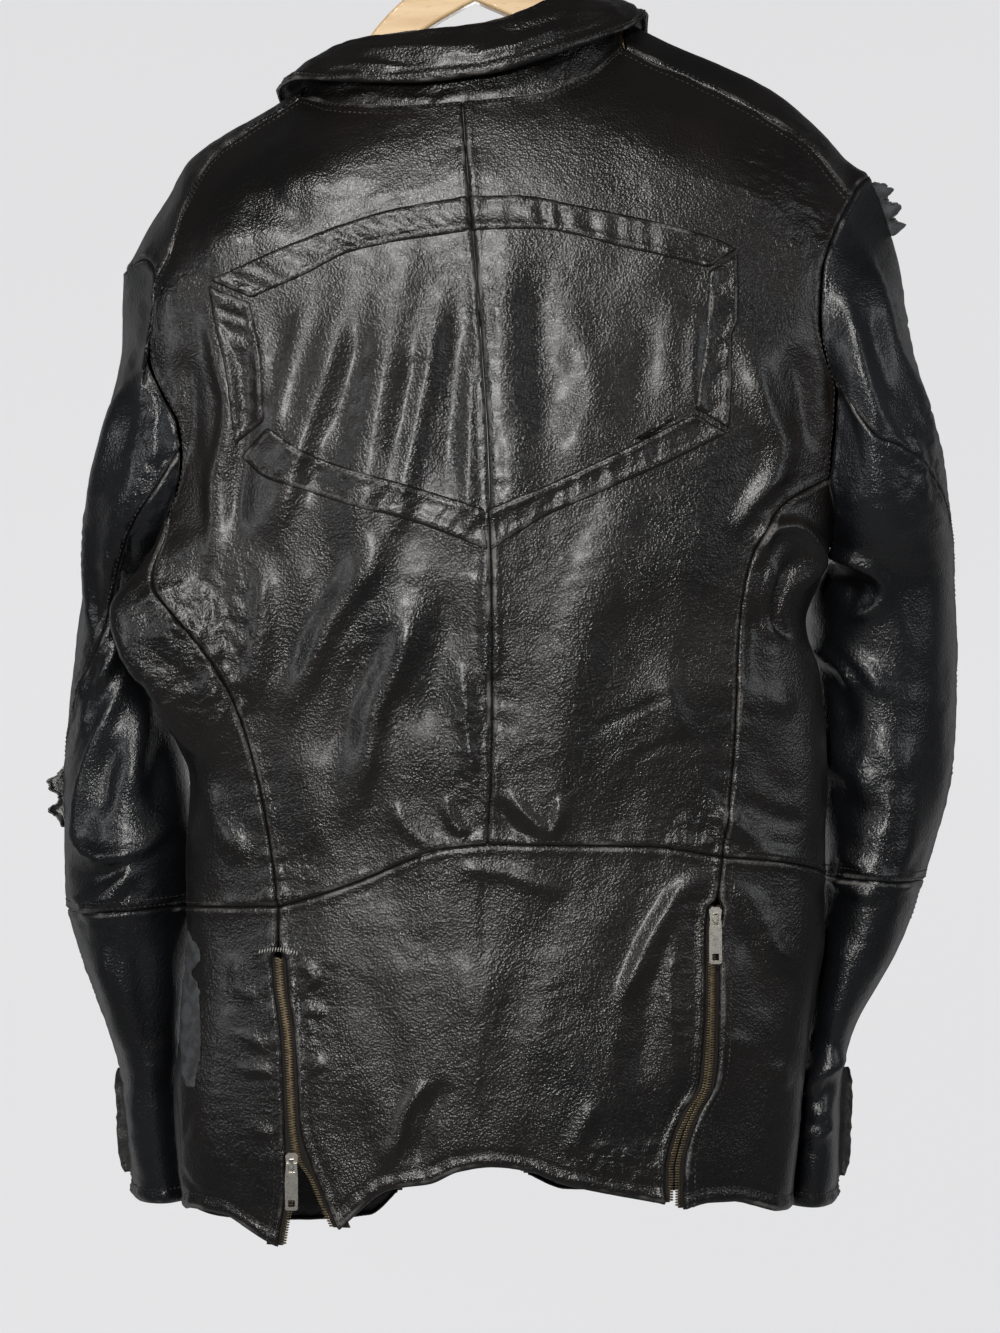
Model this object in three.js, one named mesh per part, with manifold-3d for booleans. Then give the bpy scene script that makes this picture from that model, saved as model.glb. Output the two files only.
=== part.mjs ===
import * as THREE from "three";
import Module from "manifold-3d";
import { mergeVertices } from "three/addons/utils/BufferGeometryUtils.js";

// A leather jacket on a wooden hanger. Millimetres, +Z up, origin inside the crown of the hook.
// The back of the jacket faces -Y, its open front faces +Y, and X runs across the shoulders.

// Driving dimensions
const GARMENT_DROP = 36; // the garment hangs this far below the height its stations are given in
const LEATHER = 1.6; // wall of one layer of leather
const SEAM_GAP = 0.3; // between two pieces at a seam
const BAND_LIFT = 4.1; // middle of an applied band above the middle of its panel
const EVEN = 0.6; // how far the section's steps are evened out round the side
const BACK_SQUARE = 0.55; // power that squares off the back of the body's section
const FRONT_SQUARE = 0.62; // the same for the front
const SHOULDER_REACH = 100; // height over which a shoulder rounds off
const SHOULDER_POWER = 0.7; // how flat the top of a shoulder is
const PLACE_LENGTH = 250; // length round the body of one unit of section place
const QUARTER = Math.PI / 2;
const RIGHT = 1;
const LEFT = -1;

const { clamp, lerp } = THREE.MathUtils;

// A smooth curve without overshoot through [place, value] stations, places rising.
function smooth(stations) {
  const at = stations.map((station) => station[0]);
  const value = stations.map((station) => station[1]);
  const last = at.length - 1;
  const rise = at.slice(1).map((place, i) => (value[i + 1] - value[i]) / (place - at[i]));
  const slope = at.map((_, i) => {
    if (i === 0) return rise[0];
    if (i === last) return rise[last - 1];
    if (rise[i - 1] * rise[i] <= 0) return 0;
    return (2 * rise[i - 1] * rise[i]) / (rise[i - 1] + rise[i]);
  });
  return (place) => {
    const here = clamp(place, at[0], at[last]);
    let i = last - 1;
    while (i > 0 && here < at[i]) i -= 1;
    const span = at[i + 1] - at[i];
    const t = (here - at[i]) / span;
    const s = 1 - t;
    return (
      s * s * (1 + 2 * t) * value[i] +
      t * t * (1 + 2 * s) * value[i + 1] +
      s * t * span * (s * slope[i] - t * slope[i + 1])
    );
  };
}

// A smooth route through points of any number of values, run from 0 to 1 by length.
function route(points) {
  let length = 0;
  const run = points.map((point, i) => {
    if (i > 0) length += Math.hypot(...point.map((value, k) => value - points[i - 1][k]));
    return length;
  });
  const parts = points[0].map((_, k) => smooth(points.map((point, i) => [run[i] / length, point[k]])));
  return (t) => parts.map((part) => part(t));
}

// ---- The form of the body ----

// Stations are [z, value]: the middle line, the half widths, and the depths behind and before it.
const middle = smooth([
  [-900, 5], [-629, 5], [-592, 7], [-524, 8], [-436, 7], [-367, 5], [-304, 1], [-249, -3], [-138, -12],
  [-60, -16],
]);
const rightHalf = smooth([
  [-900, 203], [-830, 211], [-775, 217], [-730, 223], [-695, 228], [-640, 229], [-560, 226], [-515, 223],
  [-482, 215], [-452, 225], [-429, 230], [-390, 236], [-350, 248], [-290, 262], [-230, 272], [-60, 280],
]);
const leftHalf = smooth([
  [-900, 205], [-800, 214], [-760, 210], [-700, 205], [-620, 206], [-587, 207], [-561, 214], [-530, 218],
  [-471, 222], [-440, 222], [-400, 222], [-350, 232], [-300, 248], [-260, 256], [-60, 262],
]);
const backDepth = smooth([
  [-900, 86], [-780, 84], [-640, 78], [-520, 84], [-400, 90], [-280, 90], [-200, 80], [-136, 62], [-100, 52],
  [-60, 46],
]);
const frontDepth = smooth([
  [-910, 80], [-640, 74], [-400, 76], [-280, 74], [-200, 66], [-136, 54], [-60, 46],
]);

// The ridge of the shoulders as [x, z], and what it does across the neck.
const ridge = smooth([
  [-300, -330], [-262, -268], [-243, -241], [-226, -209], [-216, -193], [-199, -165], [-143, -128],
  [-110, -108], [-60, -82], [0, -62], [60, -60], [95, -68], [113, -77], [164, -100], [204, -120],
  [235, -148], [251, -166], [266, -176], [300, -240],
]);

// The left side bulges out over the sleeve.
const BULGE = { out: 46, z: -478, above: 42, below: 62, turn: -1.2, wide: 0.22 };
const BULGE_BACK = { out: 15, z: -505, tall: 62, turn: -1.12, wide: 0.26 };

// The largest folds of the back, as soft ridges along [x, z] points.
const FOLDS = [
  { along: [[-107, -250], [-114, -290], [-137, -368]], wide: 15, high: 3.5 },
  { along: [[-83, -262], [-95, -298], [-116, -366]], wide: 13, high: 3 },
  { along: [[-53, -270], [-69, -356], [-80, -410]], wide: 15, high: 3 },
  { along: [[-25, -275], [-33, -311], [-50, -387]], wide: 12, high: 2.5 },
  { along: [[14, -245], [18, -304], [20, -386]], wide: 18, high: 3 },
  { along: [[69, -290], [74, -337], [76, -360]], wide: 14, high: 2.5 },
  { along: [[-149, -434], [-151, -475], [-149, -520]], wide: 16, high: 4 },
  { along: [[-81, -444], [-102, -475], [-125, -543]], wide: 15, high: 4 },
  { along: [[-41, -475], [-64, -526], [-90, -610]], wide: 15, high: 3.5 },
  { along: [[190, -424], [206, -418], [226, -432], [214, -460]], wide: 9, high: 6 },
  { along: [[145, -645], [115, -690], [104, -730]], wide: 14, high: 4 },
  { along: [[175, -665], [191, -686], [205, -730]], wide: 14, high: 4 },
];

function nearness([x, z], [ax, az], [bx, bz]) {
  const along = ((x - ax) * (bx - ax) + (z - az) * (bz - az)) / ((bx - ax) ** 2 + (bz - az) ** 2);
  const t = clamp(along, 0, 1);
  return Math.hypot(x - lerp(ax, bx, t), z - lerp(az, bz, t));
}

function foldHeight(x, z) {
  let height = 0;
  for (const fold of FOLDS) {
    const spans = fold.along.slice(1).map((end, i) => nearness([x, z], fold.along[i], end));
    height += fold.high * Math.exp(-((Math.min(...spans) / fold.wide) ** 2));
  }
  return height;
}

// The section's own coordinate: 0 at the middle of the back, 1 at the right side, 2 at the front.
const turnOf = (place) => QUARTER * (place + (EVEN * Math.sin(Math.PI * place)) / Math.PI);

function placeOf(turn) {
  let low = -2;
  let high = 2;
  for (let i = 0; i < 40; i += 1) {
    const half = (low + high) / 2;
    if (turnOf(half) < turn) low = half;
    else high = half;
  }
  return (low + high) / 2;
}

const halfWidth = (side, z) => (side > 0 ? rightHalf(z) : leftHalf(z));

function shoulderRound(drop) {
  const t = clamp(drop / SHOULDER_REACH, 0, 1);
  return (1 - (1 - t) ** 2) ** SHOULDER_POWER;
}

const shoulderDrop = (round) => SHOULDER_REACH * (1 - Math.sqrt(1 - round ** (1 / SHOULDER_POWER)));

// Points of the body at section place and height.
function bodyPoint([place, z]) {
  const turn = turnOf(place);
  const across = Math.sin(turn);
  const square = Math.cos(turn);
  const x = middle(z) + halfWidth(across, z) * across;
  const round = shoulderRound(ridge(x) - z);
  const back = square >= 0;
  const full = Math.abs(square) ** (back ? BACK_SQUARE : FRONT_SQUARE);
  const depth = back ? -backDepth(z) * round - foldHeight(x, z) : frontDepth(z) * round;
  const tall = z > BULGE.z ? BULGE.above : BULGE.below;
  const near = ((turn - BULGE.turn) / BULGE.wide) ** 2 + ((z - BULGE.z) / tall) ** 2;
  const behind = ((turn - BULGE_BACK.turn) / BULGE_BACK.wide) ** 2 + ((z - BULGE_BACK.z) / BULGE_BACK.tall) ** 2;
  const y = depth * full - BULGE_BACK.out * Math.exp(-behind);
  return new THREE.Vector3(x - BULGE.out * Math.exp(-near), y, z);
}

// Section places of points given by x and z, behind or before.
function onBack([x, z]) {
  const across = (x - middle(z)) / halfWidth(x - middle(z), z);
  return [placeOf(Math.asin(clamp(across, -1, 1))), z];
}

function onFront([x, z]) {
  const [place] = onBack([x, z]);
  return [Math.sign(place) * (2 - Math.abs(place)), z];
}

// Points over a shoulder, where round runs from -1 at the back over 0 at the ridge to 1 at the front.
function shoulderPoint([x, round]) {
  const z = ridge(x) - shoulderDrop(Math.abs(round));
  const across = clamp((x - middle(z)) / halfWidth(x - middle(z), z), -1, 1);
  const square = Math.sqrt(1 - across * across);
  const depth = round < 0 ? backDepth(z) * square ** BACK_SQUARE : frontDepth(z) * square ** FRONT_SQUARE;
  return new THREE.Vector3(x, depth * round, z);
}

const roundOf = ([x, z], sign) => [x, sign * shoulderRound(ridge(x) - z)];

// ---- Walls ----

// A surface gives a point for a pair of coordinates. The steps are small moves along each of them,
// and facing is -1 where the first crossed with the second would point inwards.
const BODY = { point: bodyPoint, step: [1e-3, 0.4], facing: 1 };
const SHOULDER = { point: shoulderPoint, step: [0.4, 1e-3], facing: 1 };

function outward({ point, step, facing }, [a, b]) {
  const across = point([a + step[0], b]).sub(point([a - step[0], b]));
  const along = point([a, b + step[1]]).sub(point([a, b - step[1]]));
  return across.cross(along).normalize().multiplyScalar(facing);
}

// A closed wall from rows of middle points and their outward directions.
function wall(points, normals, thick) {
  const rows = points.length;
  const columns = points[0].length;
  const position = [];
  for (const side of [0.5, -0.5]) {
    for (let j = 0; j < rows; j += 1) {
      for (let i = 0; i < columns; i += 1) {
        position.push(...points[j][i].clone().addScaledVector(normals[j][i], side * thick).toArray());
      }
    }
  }
  const id = (side, j, i) => side * rows * columns + j * columns + i;
  const index = [];
  const quad = (a, b, c, d) => index.push(a, b, c, a, c, d);
  const [endRow, endColumn] = [rows - 1, columns - 1];
  for (let j = 0; j < endRow; j += 1) {
    for (let i = 0; i < endColumn; i += 1) {
      quad(id(0, j, i), id(0, j, i + 1), id(0, j + 1, i + 1), id(0, j + 1, i));
      quad(id(1, j, i), id(1, j + 1, i), id(1, j + 1, i + 1), id(1, j, i + 1));
    }
    quad(id(0, j, 0), id(0, j + 1, 0), id(1, j + 1, 0), id(1, j, 0));
    quad(id(0, j, endColumn), id(1, j, endColumn), id(1, j + 1, endColumn), id(0, j + 1, endColumn));
  }
  for (let i = 0; i < endColumn; i += 1) {
    quad(id(0, 0, i), id(1, 0, i), id(1, 0, i + 1), id(0, 0, i + 1));
    quad(id(0, endRow, i), id(0, endRow, i + 1), id(1, endRow, i + 1), id(1, endRow, i));
  }
  return facingOut(position, index);
}

// A geometry from positions and triangles, turned so that its volume is positive.
function facingOut(position, index) {
  let volume = 0;
  const corner = (i) => new THREE.Vector3(...position.slice(3 * i, 3 * i + 3));
  for (let i = 0; i < index.length; i += 3) {
    const [a, b, c] = [corner(index[i]), corner(index[i + 1]), corner(index[i + 2])];
    volume += a.dot(b.cross(c));
  }
  if (volume < 0) {
    for (let i = 0; i < index.length; i += 3) [index[i + 1], index[i + 2]] = [index[i + 2], index[i + 1]];
  }
  const geometry = new THREE.BufferGeometry();
  geometry.setAttribute("position", new THREE.Float32BufferAttribute(position, 3));
  geometry.setIndex(index);
  geometry.computeVertexNormals();
  return geometry;
}

function steps(count, from = 0, to = 1) {
  return Array.from({ length: count + 1 }, (_, i) => lerp(from, to, i / count));
}

// A panel between four edges given in a surface's coordinates, held in by half a seam gap all round.
// Edges are low(u), high(u), start(v) and end(v); us and vs are the places of its grid lines.
function panel({ surface, low, high, start, end, us, vs, lift = 0, thick = LEATHER, wide, tall }) {
  const inset = (t, size) => lerp(SEAM_GAP / size, 1 - SEAM_GAP / size, t);
  const corners = [low(0), low(1), high(0), high(1)];
  const place = (u, v) =>
    [0, 1].map((k) => {
      const upright = lerp(low(u)[k], high(u)[k], v);
      const level = lerp(start(v)[k], end(v)[k], u);
      const flat = lerp(lerp(corners[0][k], corners[1][k], u), lerp(corners[2][k], corners[3][k], u), v);
      return upright + level - flat;
    });
  const places = vs.map((v) => us.map((u) => place(inset(u, wide), inset(v, tall))));
  const normals = places.map((row) => row.map((at) => outward(surface, at)));
  const points = places.map((row, j) =>
    row.map((at, i) => surface.point(at).addScaledVector(normals[j][i], lift)),
  );
  return wall(points, normals, thick);
}

// ---- Materials ----

const material = (color, roughness, metalness = 0) =>
  new THREE.MeshStandardMaterial({ color, roughness, metalness });
const BODY_LEATHER = material(0x15120f, 0.35);
const SLEEVE_LEATHER = material(0x101216, 0.38);
const RAW_LEATHER = material(0x4a4a4c, 0.9);
const TAPE = material(0x2b2119, 0.9);
const TEETH = material(0x6f5c3c, 0.45, 0.9);
const NICKEL = material(0xb8b4aa, 0.3, 1);
const WOOD = material(0xe3bd85, 0.55);
const STEEL = material(0xa9a9a6, 0.3, 1);

const jacket = new THREE.Group();

function add(name, geometry, look) {
  const mesh = new THREE.Mesh(geometry, look);
  mesh.name = name;
  jacket.add(mesh);
  return mesh;
}

// ---- Seams and edges, as [x, z] points on the back or the front ----

const NECK_CENTRE = [-12, -137];
const WAIST_CENTRE = [5, -629];
const HEM_FRONT = { [LEFT]: [-60, -886], [RIGHT]: [33, -874] };

const SEAMS = {
  [RIGHT]: {
    neckBack: [NECK_CENTRE, [38, -131], [75, -115], [98, -93]],
    shoulderBack: [[98, -93], [157, -121], [200, -145], [223, -161], [241, -183], [252, -195]],
    armBack: [
      [252, -195], [244, -208], [234, -228], [227, -249], [225, -280], [229, -305], [237, -330],
      [233, -386],
    ],
    sideBack: [
      [160, -638], [165, -601], [168, -567], [170, -510], [172, -475], [180, -437], [200, -406],
      [233, -386],
    ],
    waistBack: [WAIST_CENTRE, [62, -630], [113, -631], [160, -638]],
    waistEdge: -657,
    armLow: -429,
    armFront: [[222, -385], [212, -340], [212, -290], [228, -240], [246, -207]],
    sideFront: [[185, -668], [190, -560], [198, -440], [222, -385]],
    skirtFront: [[180, -878], [184, -760], [185, -668]],
    shoulderFront: [[92, -98], [157, -127], [200, -154], [232, -186], [246, -207]],
    neckFront: [[24, -184], [50, -168], [76, -140], [92, -98]],
    frontEdge: [HEM_FRONT[RIGHT], [28, -700], [22, -450], [24, -184]],
    hemFront: [HEM_FRONT[RIGHT], [60, -884], [120, -884], [180, -878]],
    hemSide: [[134, -870], [153, -866], [169, -866], [179, -869], [199, -876]],
    hemEdge: -879,
    zipSide: [
      [160, -638], [157.5, -665], [160, -672], [158, -690], [157.5, -736], [157, -764], [155, -787],
      [145, -807], [138, -825], [134, -845], [134, -870],
    ],
    zipBack: [
      [160, -638], [156.5, -665], [150.5, -672], [149, -690], [148.5, -736], [147, -764], [145, -787],
      [134, -807], [126, -825], [122, -845], [122, -866],
    ],
    zipFrom: -670,
    tip: 266,
    neckRidge: 95,
    frontNeckShare: 0.31,
  },
  [LEFT]: {
    neckBack: [NECK_CENTRE, [-54, -138], [-97, -134], [-122, -124]],
    shoulderBack: [[-122, -124], [-178, -165], [-195, -199], [-206, -237], [-215, -255]],
    armBack: [
      [-215, -255], [-218, -285], [-220, -308], [-211, -332], [-201, -352], [-199, -378], [-205, -410],
    ],
    sideBack: [[-134, -671], [-142, -614], [-159, -541], [-180, -479], [-192, -450], [-205, -410]],
    waistBack: [WAIST_CENTRE, [-23, -632], [-43, -638], [-81, -654], [-107, -663], [-134, -671]],
    waistEdge: -676,
    armLow: -450,
    armFront: [[-203, -410], [-194, -370], [-198, -330], [-210, -290], [-218, -247]],
    sideFront: [[-175, -690], [-180, -560], [-188, -460], [-203, -410]],
    skirtFront: [[-172, -900], [-174, -780], [-175, -690]],
    shoulderFront: [[-116, -130], [-170, -168], [-198, -203], [-218, -247]],
    neckFront: [[-40, -200], [-70, -186], [-98, -162], [-116, -130]],
    frontEdge: [HEM_FRONT[LEFT], [-52, -760], [-42, -450], [-40, -200]],
    hemFront: [HEM_FRONT[LEFT], [-80, -902], [-115, -904], [-172, -900]],
    hemSide: [[-134, -895], [-145, -890], [-155, -884], [-170, -876], [-190, -875]],
    hemEdge: -882,
    zipSide: [
      [-134, -671], [-134.6, -698], [-138, -706], [-137, -722], [-132, -757], [-129, -816], [-128, -850],
      [-134, -895],
    ],
    zipBack: [
      [-134, -671], [-133.4, -698], [-129, -706], [-128, -722], [-122.5, -757], [-119, -816], [-113, -836],
      [-103, -860], [-93, -882],
    ],
    zipFrom: -704,
    tip: -243,
    neckRidge: -120,
    frontNeckShare: 0.42,
  },
};
const HEM_BACK = [
  [-93, -882], [-59, -855], [-33, -851], [-14, -843], [7, -840], [32, -843], [53, -851], [122, -866],
];

// Grid lines joined end to end: each stretch is [count of steps, where it ends].
function joined(...stretches) {
  const places = [0];
  for (const [count, to] of stretches) places.push(...steps(count, places.at(-1), to).slice(1));
  return places;
}

// An edge of stretches that meet: each is [where it ends, its own route from 0 to 1].
function edge(...stretches) {
  return (t) => {
    let from = 0;
    for (const [to, run] of stretches) {
      if (t <= to + 1e-9) return run(clamp((t - from) / (to - from), 0, 1));
      from = to;
    }
    return stretches.at(-1)[1](1);
  };
}

const reversed = (run) => (t) => run(1 - t);

function through(points, place) {
  const run = route(points);
  return (t) => place(run(t));
}

// A route through section places and heights, with places weighed as lengths.
function around(places) {
  const run = route(places.map(([place, z]) => [place * PLACE_LENGTH, z]));
  return (t) => {
    const [length, z] = run(t);
    return [length / PLACE_LENGTH, z];
  };
}

// How the grids share their lines: the same count on both sides of a seam.
const NECK_SHARE = 0.42;
const ARM_SHARE = 0.5;
const WAIST_SHARE = 0.28;
const FRONT_ARM_SHARE = 0.68;
const NECK_STEPS = 5;
const SHOULDER_STEPS = 5;
const SIDE_STEPS = 8;
const ARM_STEPS = 6;
const SIDE_COLUMNS = 6;
const SKIRT_STEPS = 6;
const BACK_COLUMNS = joined([NECK_STEPS, NECK_SHARE], [SHOULDER_STEPS, 1]);

const runs = {};
for (const side of [RIGHT, LEFT]) {
  const seam = SEAMS[side];
  const cap = (x, from, to) => through([from, [x, 0], to], (at) => at);
  const [neckEnd, armEnd] = [seam.shoulderBack[0], seam.shoulderBack.at(-1)];
  const [frontNeckEnd, frontArmEnd] = [seam.shoulderFront[0], seam.shoulderFront.at(-1)];
  runs[side] = {
    waistBack: through(seam.waistBack, onBack),
    neckBack: through(seam.neckBack, onBack),
    shoulderBack: through(seam.shoulderBack, onBack),
    sideBack: through(seam.sideBack, onBack),
    armBack: through(seam.armBack, onBack),
    armFront: through(seam.armFront, onFront),
    sideFront: through(seam.sideFront, onFront),
    skirtFront: through(seam.skirtFront, onFront),
    shoulderFront: through(seam.shoulderFront, onFront),
    neckFront: through(seam.neckFront, onFront),
    frontEdge: through(seam.frontEdge, onFront),
    hemFront: through(seam.hemFront, onFront),
    zipSide: through(seam.zipSide, onBack),
    zipBack: through(seam.zipBack, onBack),
    armUnder: around([onBack(seam.armBack.at(-1)), [side, seam.armLow], onFront(seam.armFront[0])]),
    waistSide: around([onBack(seam.waistBack.at(-1)), [side, seam.waistEdge], onFront(seam.sideFront[0])]),
    hemSide: around([...seam.hemSide.map(onBack), [side, seam.hemEdge], onFront(seam.skirtFront[0])]),
    seamBack: through(seam.shoulderBack, (at) => roundOf(at, -1)),
    seamFront: through(seam.shoulderFront, (at) => roundOf(at, 1)),
    neckCap: cap(seam.neckRidge, roundOf(neckEnd, -1), roundOf(frontNeckEnd, 1)),
    armCap: cap(seam.tip, roundOf(armEnd, -1), roundOf(frontArmEnd, 1)),
  };
}

// ---- The body's panels ----

const centreSeam = (t) => [0, lerp(WAIST_CENTRE[1], NECK_CENTRE[1], t)];

for (const side of [RIGHT, LEFT]) {
  const run = runs[side];
  const name = side > 0 ? "right" : "left";
  const pieces = {
    back: {
      low: run.waistBack,
      high: edge([NECK_SHARE, run.neckBack], [1, run.shoulderBack]),
      start: centreSeam,
      end: edge([ARM_SHARE, run.sideBack], [1, reversed(run.armBack)]),
      us: BACK_COLUMNS,
      vs: joined([SIDE_STEPS, ARM_SHARE], [ARM_STEPS, 1]),
      wide: 200,
      tall: 480,
    },
    side: {
      low: run.waistSide,
      high: run.armUnder,
      start: run.sideBack,
      end: run.sideFront,
      us: steps(SIDE_COLUMNS),
      vs: steps(SIDE_STEPS),
      wide: 130,
      tall: 240,
    },
    skirt: {
      low: run.hemSide,
      high: run.waistSide,
      start: reversed(run.zipSide),
      end: run.skirtFront,
      us: steps(SIDE_COLUMNS),
      vs: steps(SKIRT_STEPS),
      wide: 130,
      tall: 220,
    },
    front: {
      low: run.hemFront,
      high: edge([SEAMS[side].frontNeckShare, run.neckFront], [1, run.shoulderFront]),
      start: run.frontEdge,
      end: edge([WAIST_SHARE, run.skirtFront], [FRONT_ARM_SHARE, run.sideFront], [1, run.armFront]),
      us: joined([6, SEAMS[side].frontNeckShare], [SHOULDER_STEPS, 1]),
      vs: joined([SKIRT_STEPS, WAIST_SHARE], [SIDE_STEPS, FRONT_ARM_SHARE], [5, 1]),
      wide: 160,
      tall: 700,
    },
  };
  for (const [piece, cut] of Object.entries(pieces)) {
    add(`${piece}_${name}`, panel({ surface: BODY, ...cut }), BODY_LEATHER);
  }
  const shoulder = {
    surface: SHOULDER,
    low: run.seamBack,
    high: run.seamFront,
    start: run.neckCap,
    end: run.armCap,
    us: steps(SHOULDER_STEPS),
    vs: steps(6),
    wide: 160,
    tall: 90,
  };
  add(`shoulder_${name}`, panel(shoulder), BODY_LEATHER);
}

const skirtBack = {
  surface: BODY,
  low: through(HEM_BACK, onBack),
  high: edge([0.5, reversed(runs[LEFT].waistBack)], [1, runs[RIGHT].waistBack]),
  start: reversed(runs[LEFT].zipBack),
  end: reversed(runs[RIGHT].zipBack),
  us: [...BACK_COLUMNS.map((u) => (1 - u) / 2).reverse(), ...BACK_COLUMNS.slice(1).map((u) => (1 + u) / 2)],
  vs: steps(SKIRT_STEPS),
  wide: 290,
  tall: 220,
};
add("skirt_back", panel(skirtBack), BODY_LEATHER);

// ---- The shield of applied bands on the back: each lies between an outer and an inner line ----

const BANDS = {
  band_top_right: {
    outer: [[-7, -203], [26, -203], [61, -209], [102, -217], [154, -230], [169, -237]],
    inner: [[-5, -227], [38, -226], [92, -237], [150, -250]],
    columns: 12,
  },
  band_top_left: {
    outer: [[-178, -258], [-140, -241], [-92, -222], [-53, -211], [-8.5, -203]],
    inner: [[-150, -270], [-117, -256], [-86, -241], [-53, -234], [-6.5, -227]],
    columns: 12,
  },
  band_side_right: {
    outer: [[170, -240], [170, -283], [166, -294], [165, -333], [163, -356]],
    inner: [[150, -252.5], [148, -294], [141, -343]],
    columns: 6,
  },
  band_side_left: {
    outer: [[-179, -261], [-176, -280], [-167, -318], [-161, -366]],
    inner: [[-151, -273], [-143, -313], [-141, -351]],
    columns: 6,
  },
  band_low_right: {
    outer: [[7, -436], [46, -412.5], [77, -399], [129, -375.5], [162, -359]],
    inner: [[5, -409], [40, -395], [82, -375.5], [141, -346]],
    columns: 12,
  },
  band_low_left: {
    outer: [[-158, -374], [-141, -388], [-117, -396], [-84, -407], [-49, -416], [5, -436]],
    inner: [[-139, -355], [-113, -372], [-81, -384], [-45, -394], [3, -409]],
    columns: 12,
  },
};

for (const [name, { outer, inner, columns }] of Object.entries(BANDS)) {
  const [low, high] = [through(outer, onBack), through(inner, onBack)];
  const band = {
    surface: BODY,
    low,
    high,
    start: (t) => [0, 1].map((k) => lerp(low(0)[k], high(0)[k], t)),
    end: (t) => [0, 1].map((k) => lerp(low(1)[k], high(1)[k], t)),
    us: steps(columns),
    vs: steps(1),
    lift: BAND_LIFT,
    wide: 170,
    tall: 24,
  };
  add(name, panel(band), BODY_LEATHER);
}

// ---- Sleeves ----

const SLEEVE_CLEAR = 3.2; // how far out a sleeve starts from the armhole
const CAP = 0.3; // share of the sleeve over which the armhole's own shape fades
const CROSS_SEAM = 0.785; // where the forearm piece starts
const HEM_END = 1;

// Stations: [share of the run, outer x, outer z, inner x, inner z, middle y, half depth].
const SLEEVES = {
  [RIGHT]: {
    sections: [
      [0, 266, -178, 237, -429, 0, 66], [0.1, 285, -232, 239, -432, 0, 74],
      [0.22, 296, -300, 238, -435, 4, 76], [0.36, 322, -392, 235, -444, 18, 74],
      [0.46, 329, -452, 224, -472, 40, 68], [0.56, 332, -520, 228, -515, 44, 64],
      [0.66, 329, -580, 232, -575, 42, 62], [0.76, 315, -642, 234, -637, 40, 62],
      [0.84, 291, -707, 230, -702, 42, 60], [0.9, 262, -761, 222, -757, 48, 57],
      [0.94, 253, -800, 214, -797, 52, 56], [1, 250, -886, 204, -884, 62, 52],
    ],
    backSeam: [[0, 0.3], [0.2, 0.25], [0.3, 0.17], [0.42, 0.055], [0.5, 0.01], [1, 0]],
  },
  [LEFT]: {
    sections: [
      [0, -243, -241, -219, -450, 0, 62], [0.1, -247, -285, -222, -452, 4, 70],
      [0.22, -256, -335, -224, -455, 14, 74], [0.36, -270, -415, -229, -462, 36, 72],
      [0.46, -281, -475, -228, -490, 54, 64], [0.56, -288, -540, -212, -535, 54, 64],
      [0.66, -291, -610, -200, -605, 48, 66], [0.76, -290, -665, -197, -660, 44, 66],
      [0.84, -277, -720, -202, -715, 46, 62], [0.9, -257, -772, -206, -768, 52, 58],
      [0.94, -251, -800, -204, -797, 56, 56], [1, -246, -884, -194, -882, 64, 52],
    ],
    backSeam: [[0, 0.32], [0.3, 0.31], [0.46, 0.25], [0.56, 0.1], [0.64, 0.01], [1, 0]],
  },
};
const FRONT_SEAM = 0.64; // where the second sleeve seam runs, as a share of the way round

// The armhole as a loop from the tip of the shoulder, down the back, and up the front.
function armLoop(side) {
  const run = runs[side];
  const onShoulder = (t) => shoulderPoint(run.armCap(t));
  const stretches = edge(
    [0.06, (t) => onShoulder(lerp(0.5, 0, t))],
    [0.42, (t) => bodyPoint(run.armBack(t))],
    [0.58, (t) => bodyPoint(run.armUnder(t))],
    [0.94, (t) => bodyPoint(run.armFront(t))],
    [1, (t) => onShoulder(lerp(1, 0.5, t))],
  );
  return (t) => stretches(t - Math.floor(t));
}

function sleeveSurface(side) {
  const rows = SLEEVES[side].sections;
  const part = (k) => smooth(rows.map((row) => [row[0], row[k]]));
  const [outerX, outerZ, innerX, innerZ, middleY, halfDepth] = [1, 2, 3, 4, 5, 6].map(part);
  const loop = armLoop(side);
  const section = (t, v) => {
    const angle = 2 * Math.PI * t;
    const share = (1 + Math.cos(angle)) / 2;
    const y = middleY(v) - halfDepth(v) * Math.sin(angle);
    return new THREE.Vector3(lerp(innerX(v), outerX(v), share), y, lerp(innerZ(v), outerZ(v), share));
  };
  const point = ([t, v]) => {
    const fade = 1 - THREE.MathUtils.smoothstep(v, 0, CAP);
    const shaped = loop(t).sub(section(t, 0)).multiplyScalar(fade);
    return section(t, v).add(shaped).add(new THREE.Vector3(side * SLEEVE_CLEAR, 0, 0));
  };
  return { point, step: [1e-3, 1e-3], facing: side };
}

const SLEEVE = { [RIGHT]: sleeveSurface(RIGHT), [LEFT]: sleeveSurface(LEFT) };

// A piece of a sleeve between two lines round it and two heights along it.
function sleevePanel(side, from, to, top, low, columns, rows) {
  return panel({
    surface: SLEEVE[side],
    low: (t) => [lerp(from(top), to(top), t), top],
    high: (t) => [lerp(from(low), to(low), t), low],
    start: (t) => [from(lerp(top, low, t)), lerp(top, low, t)],
    end: (t) => [to(lerp(top, low, t)), lerp(top, low, t)],
    us: steps(columns),
    vs: rows.map((row) => (row - top) / (low - top)),
    wide: 230,
    tall: 480,
  });
}

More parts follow.
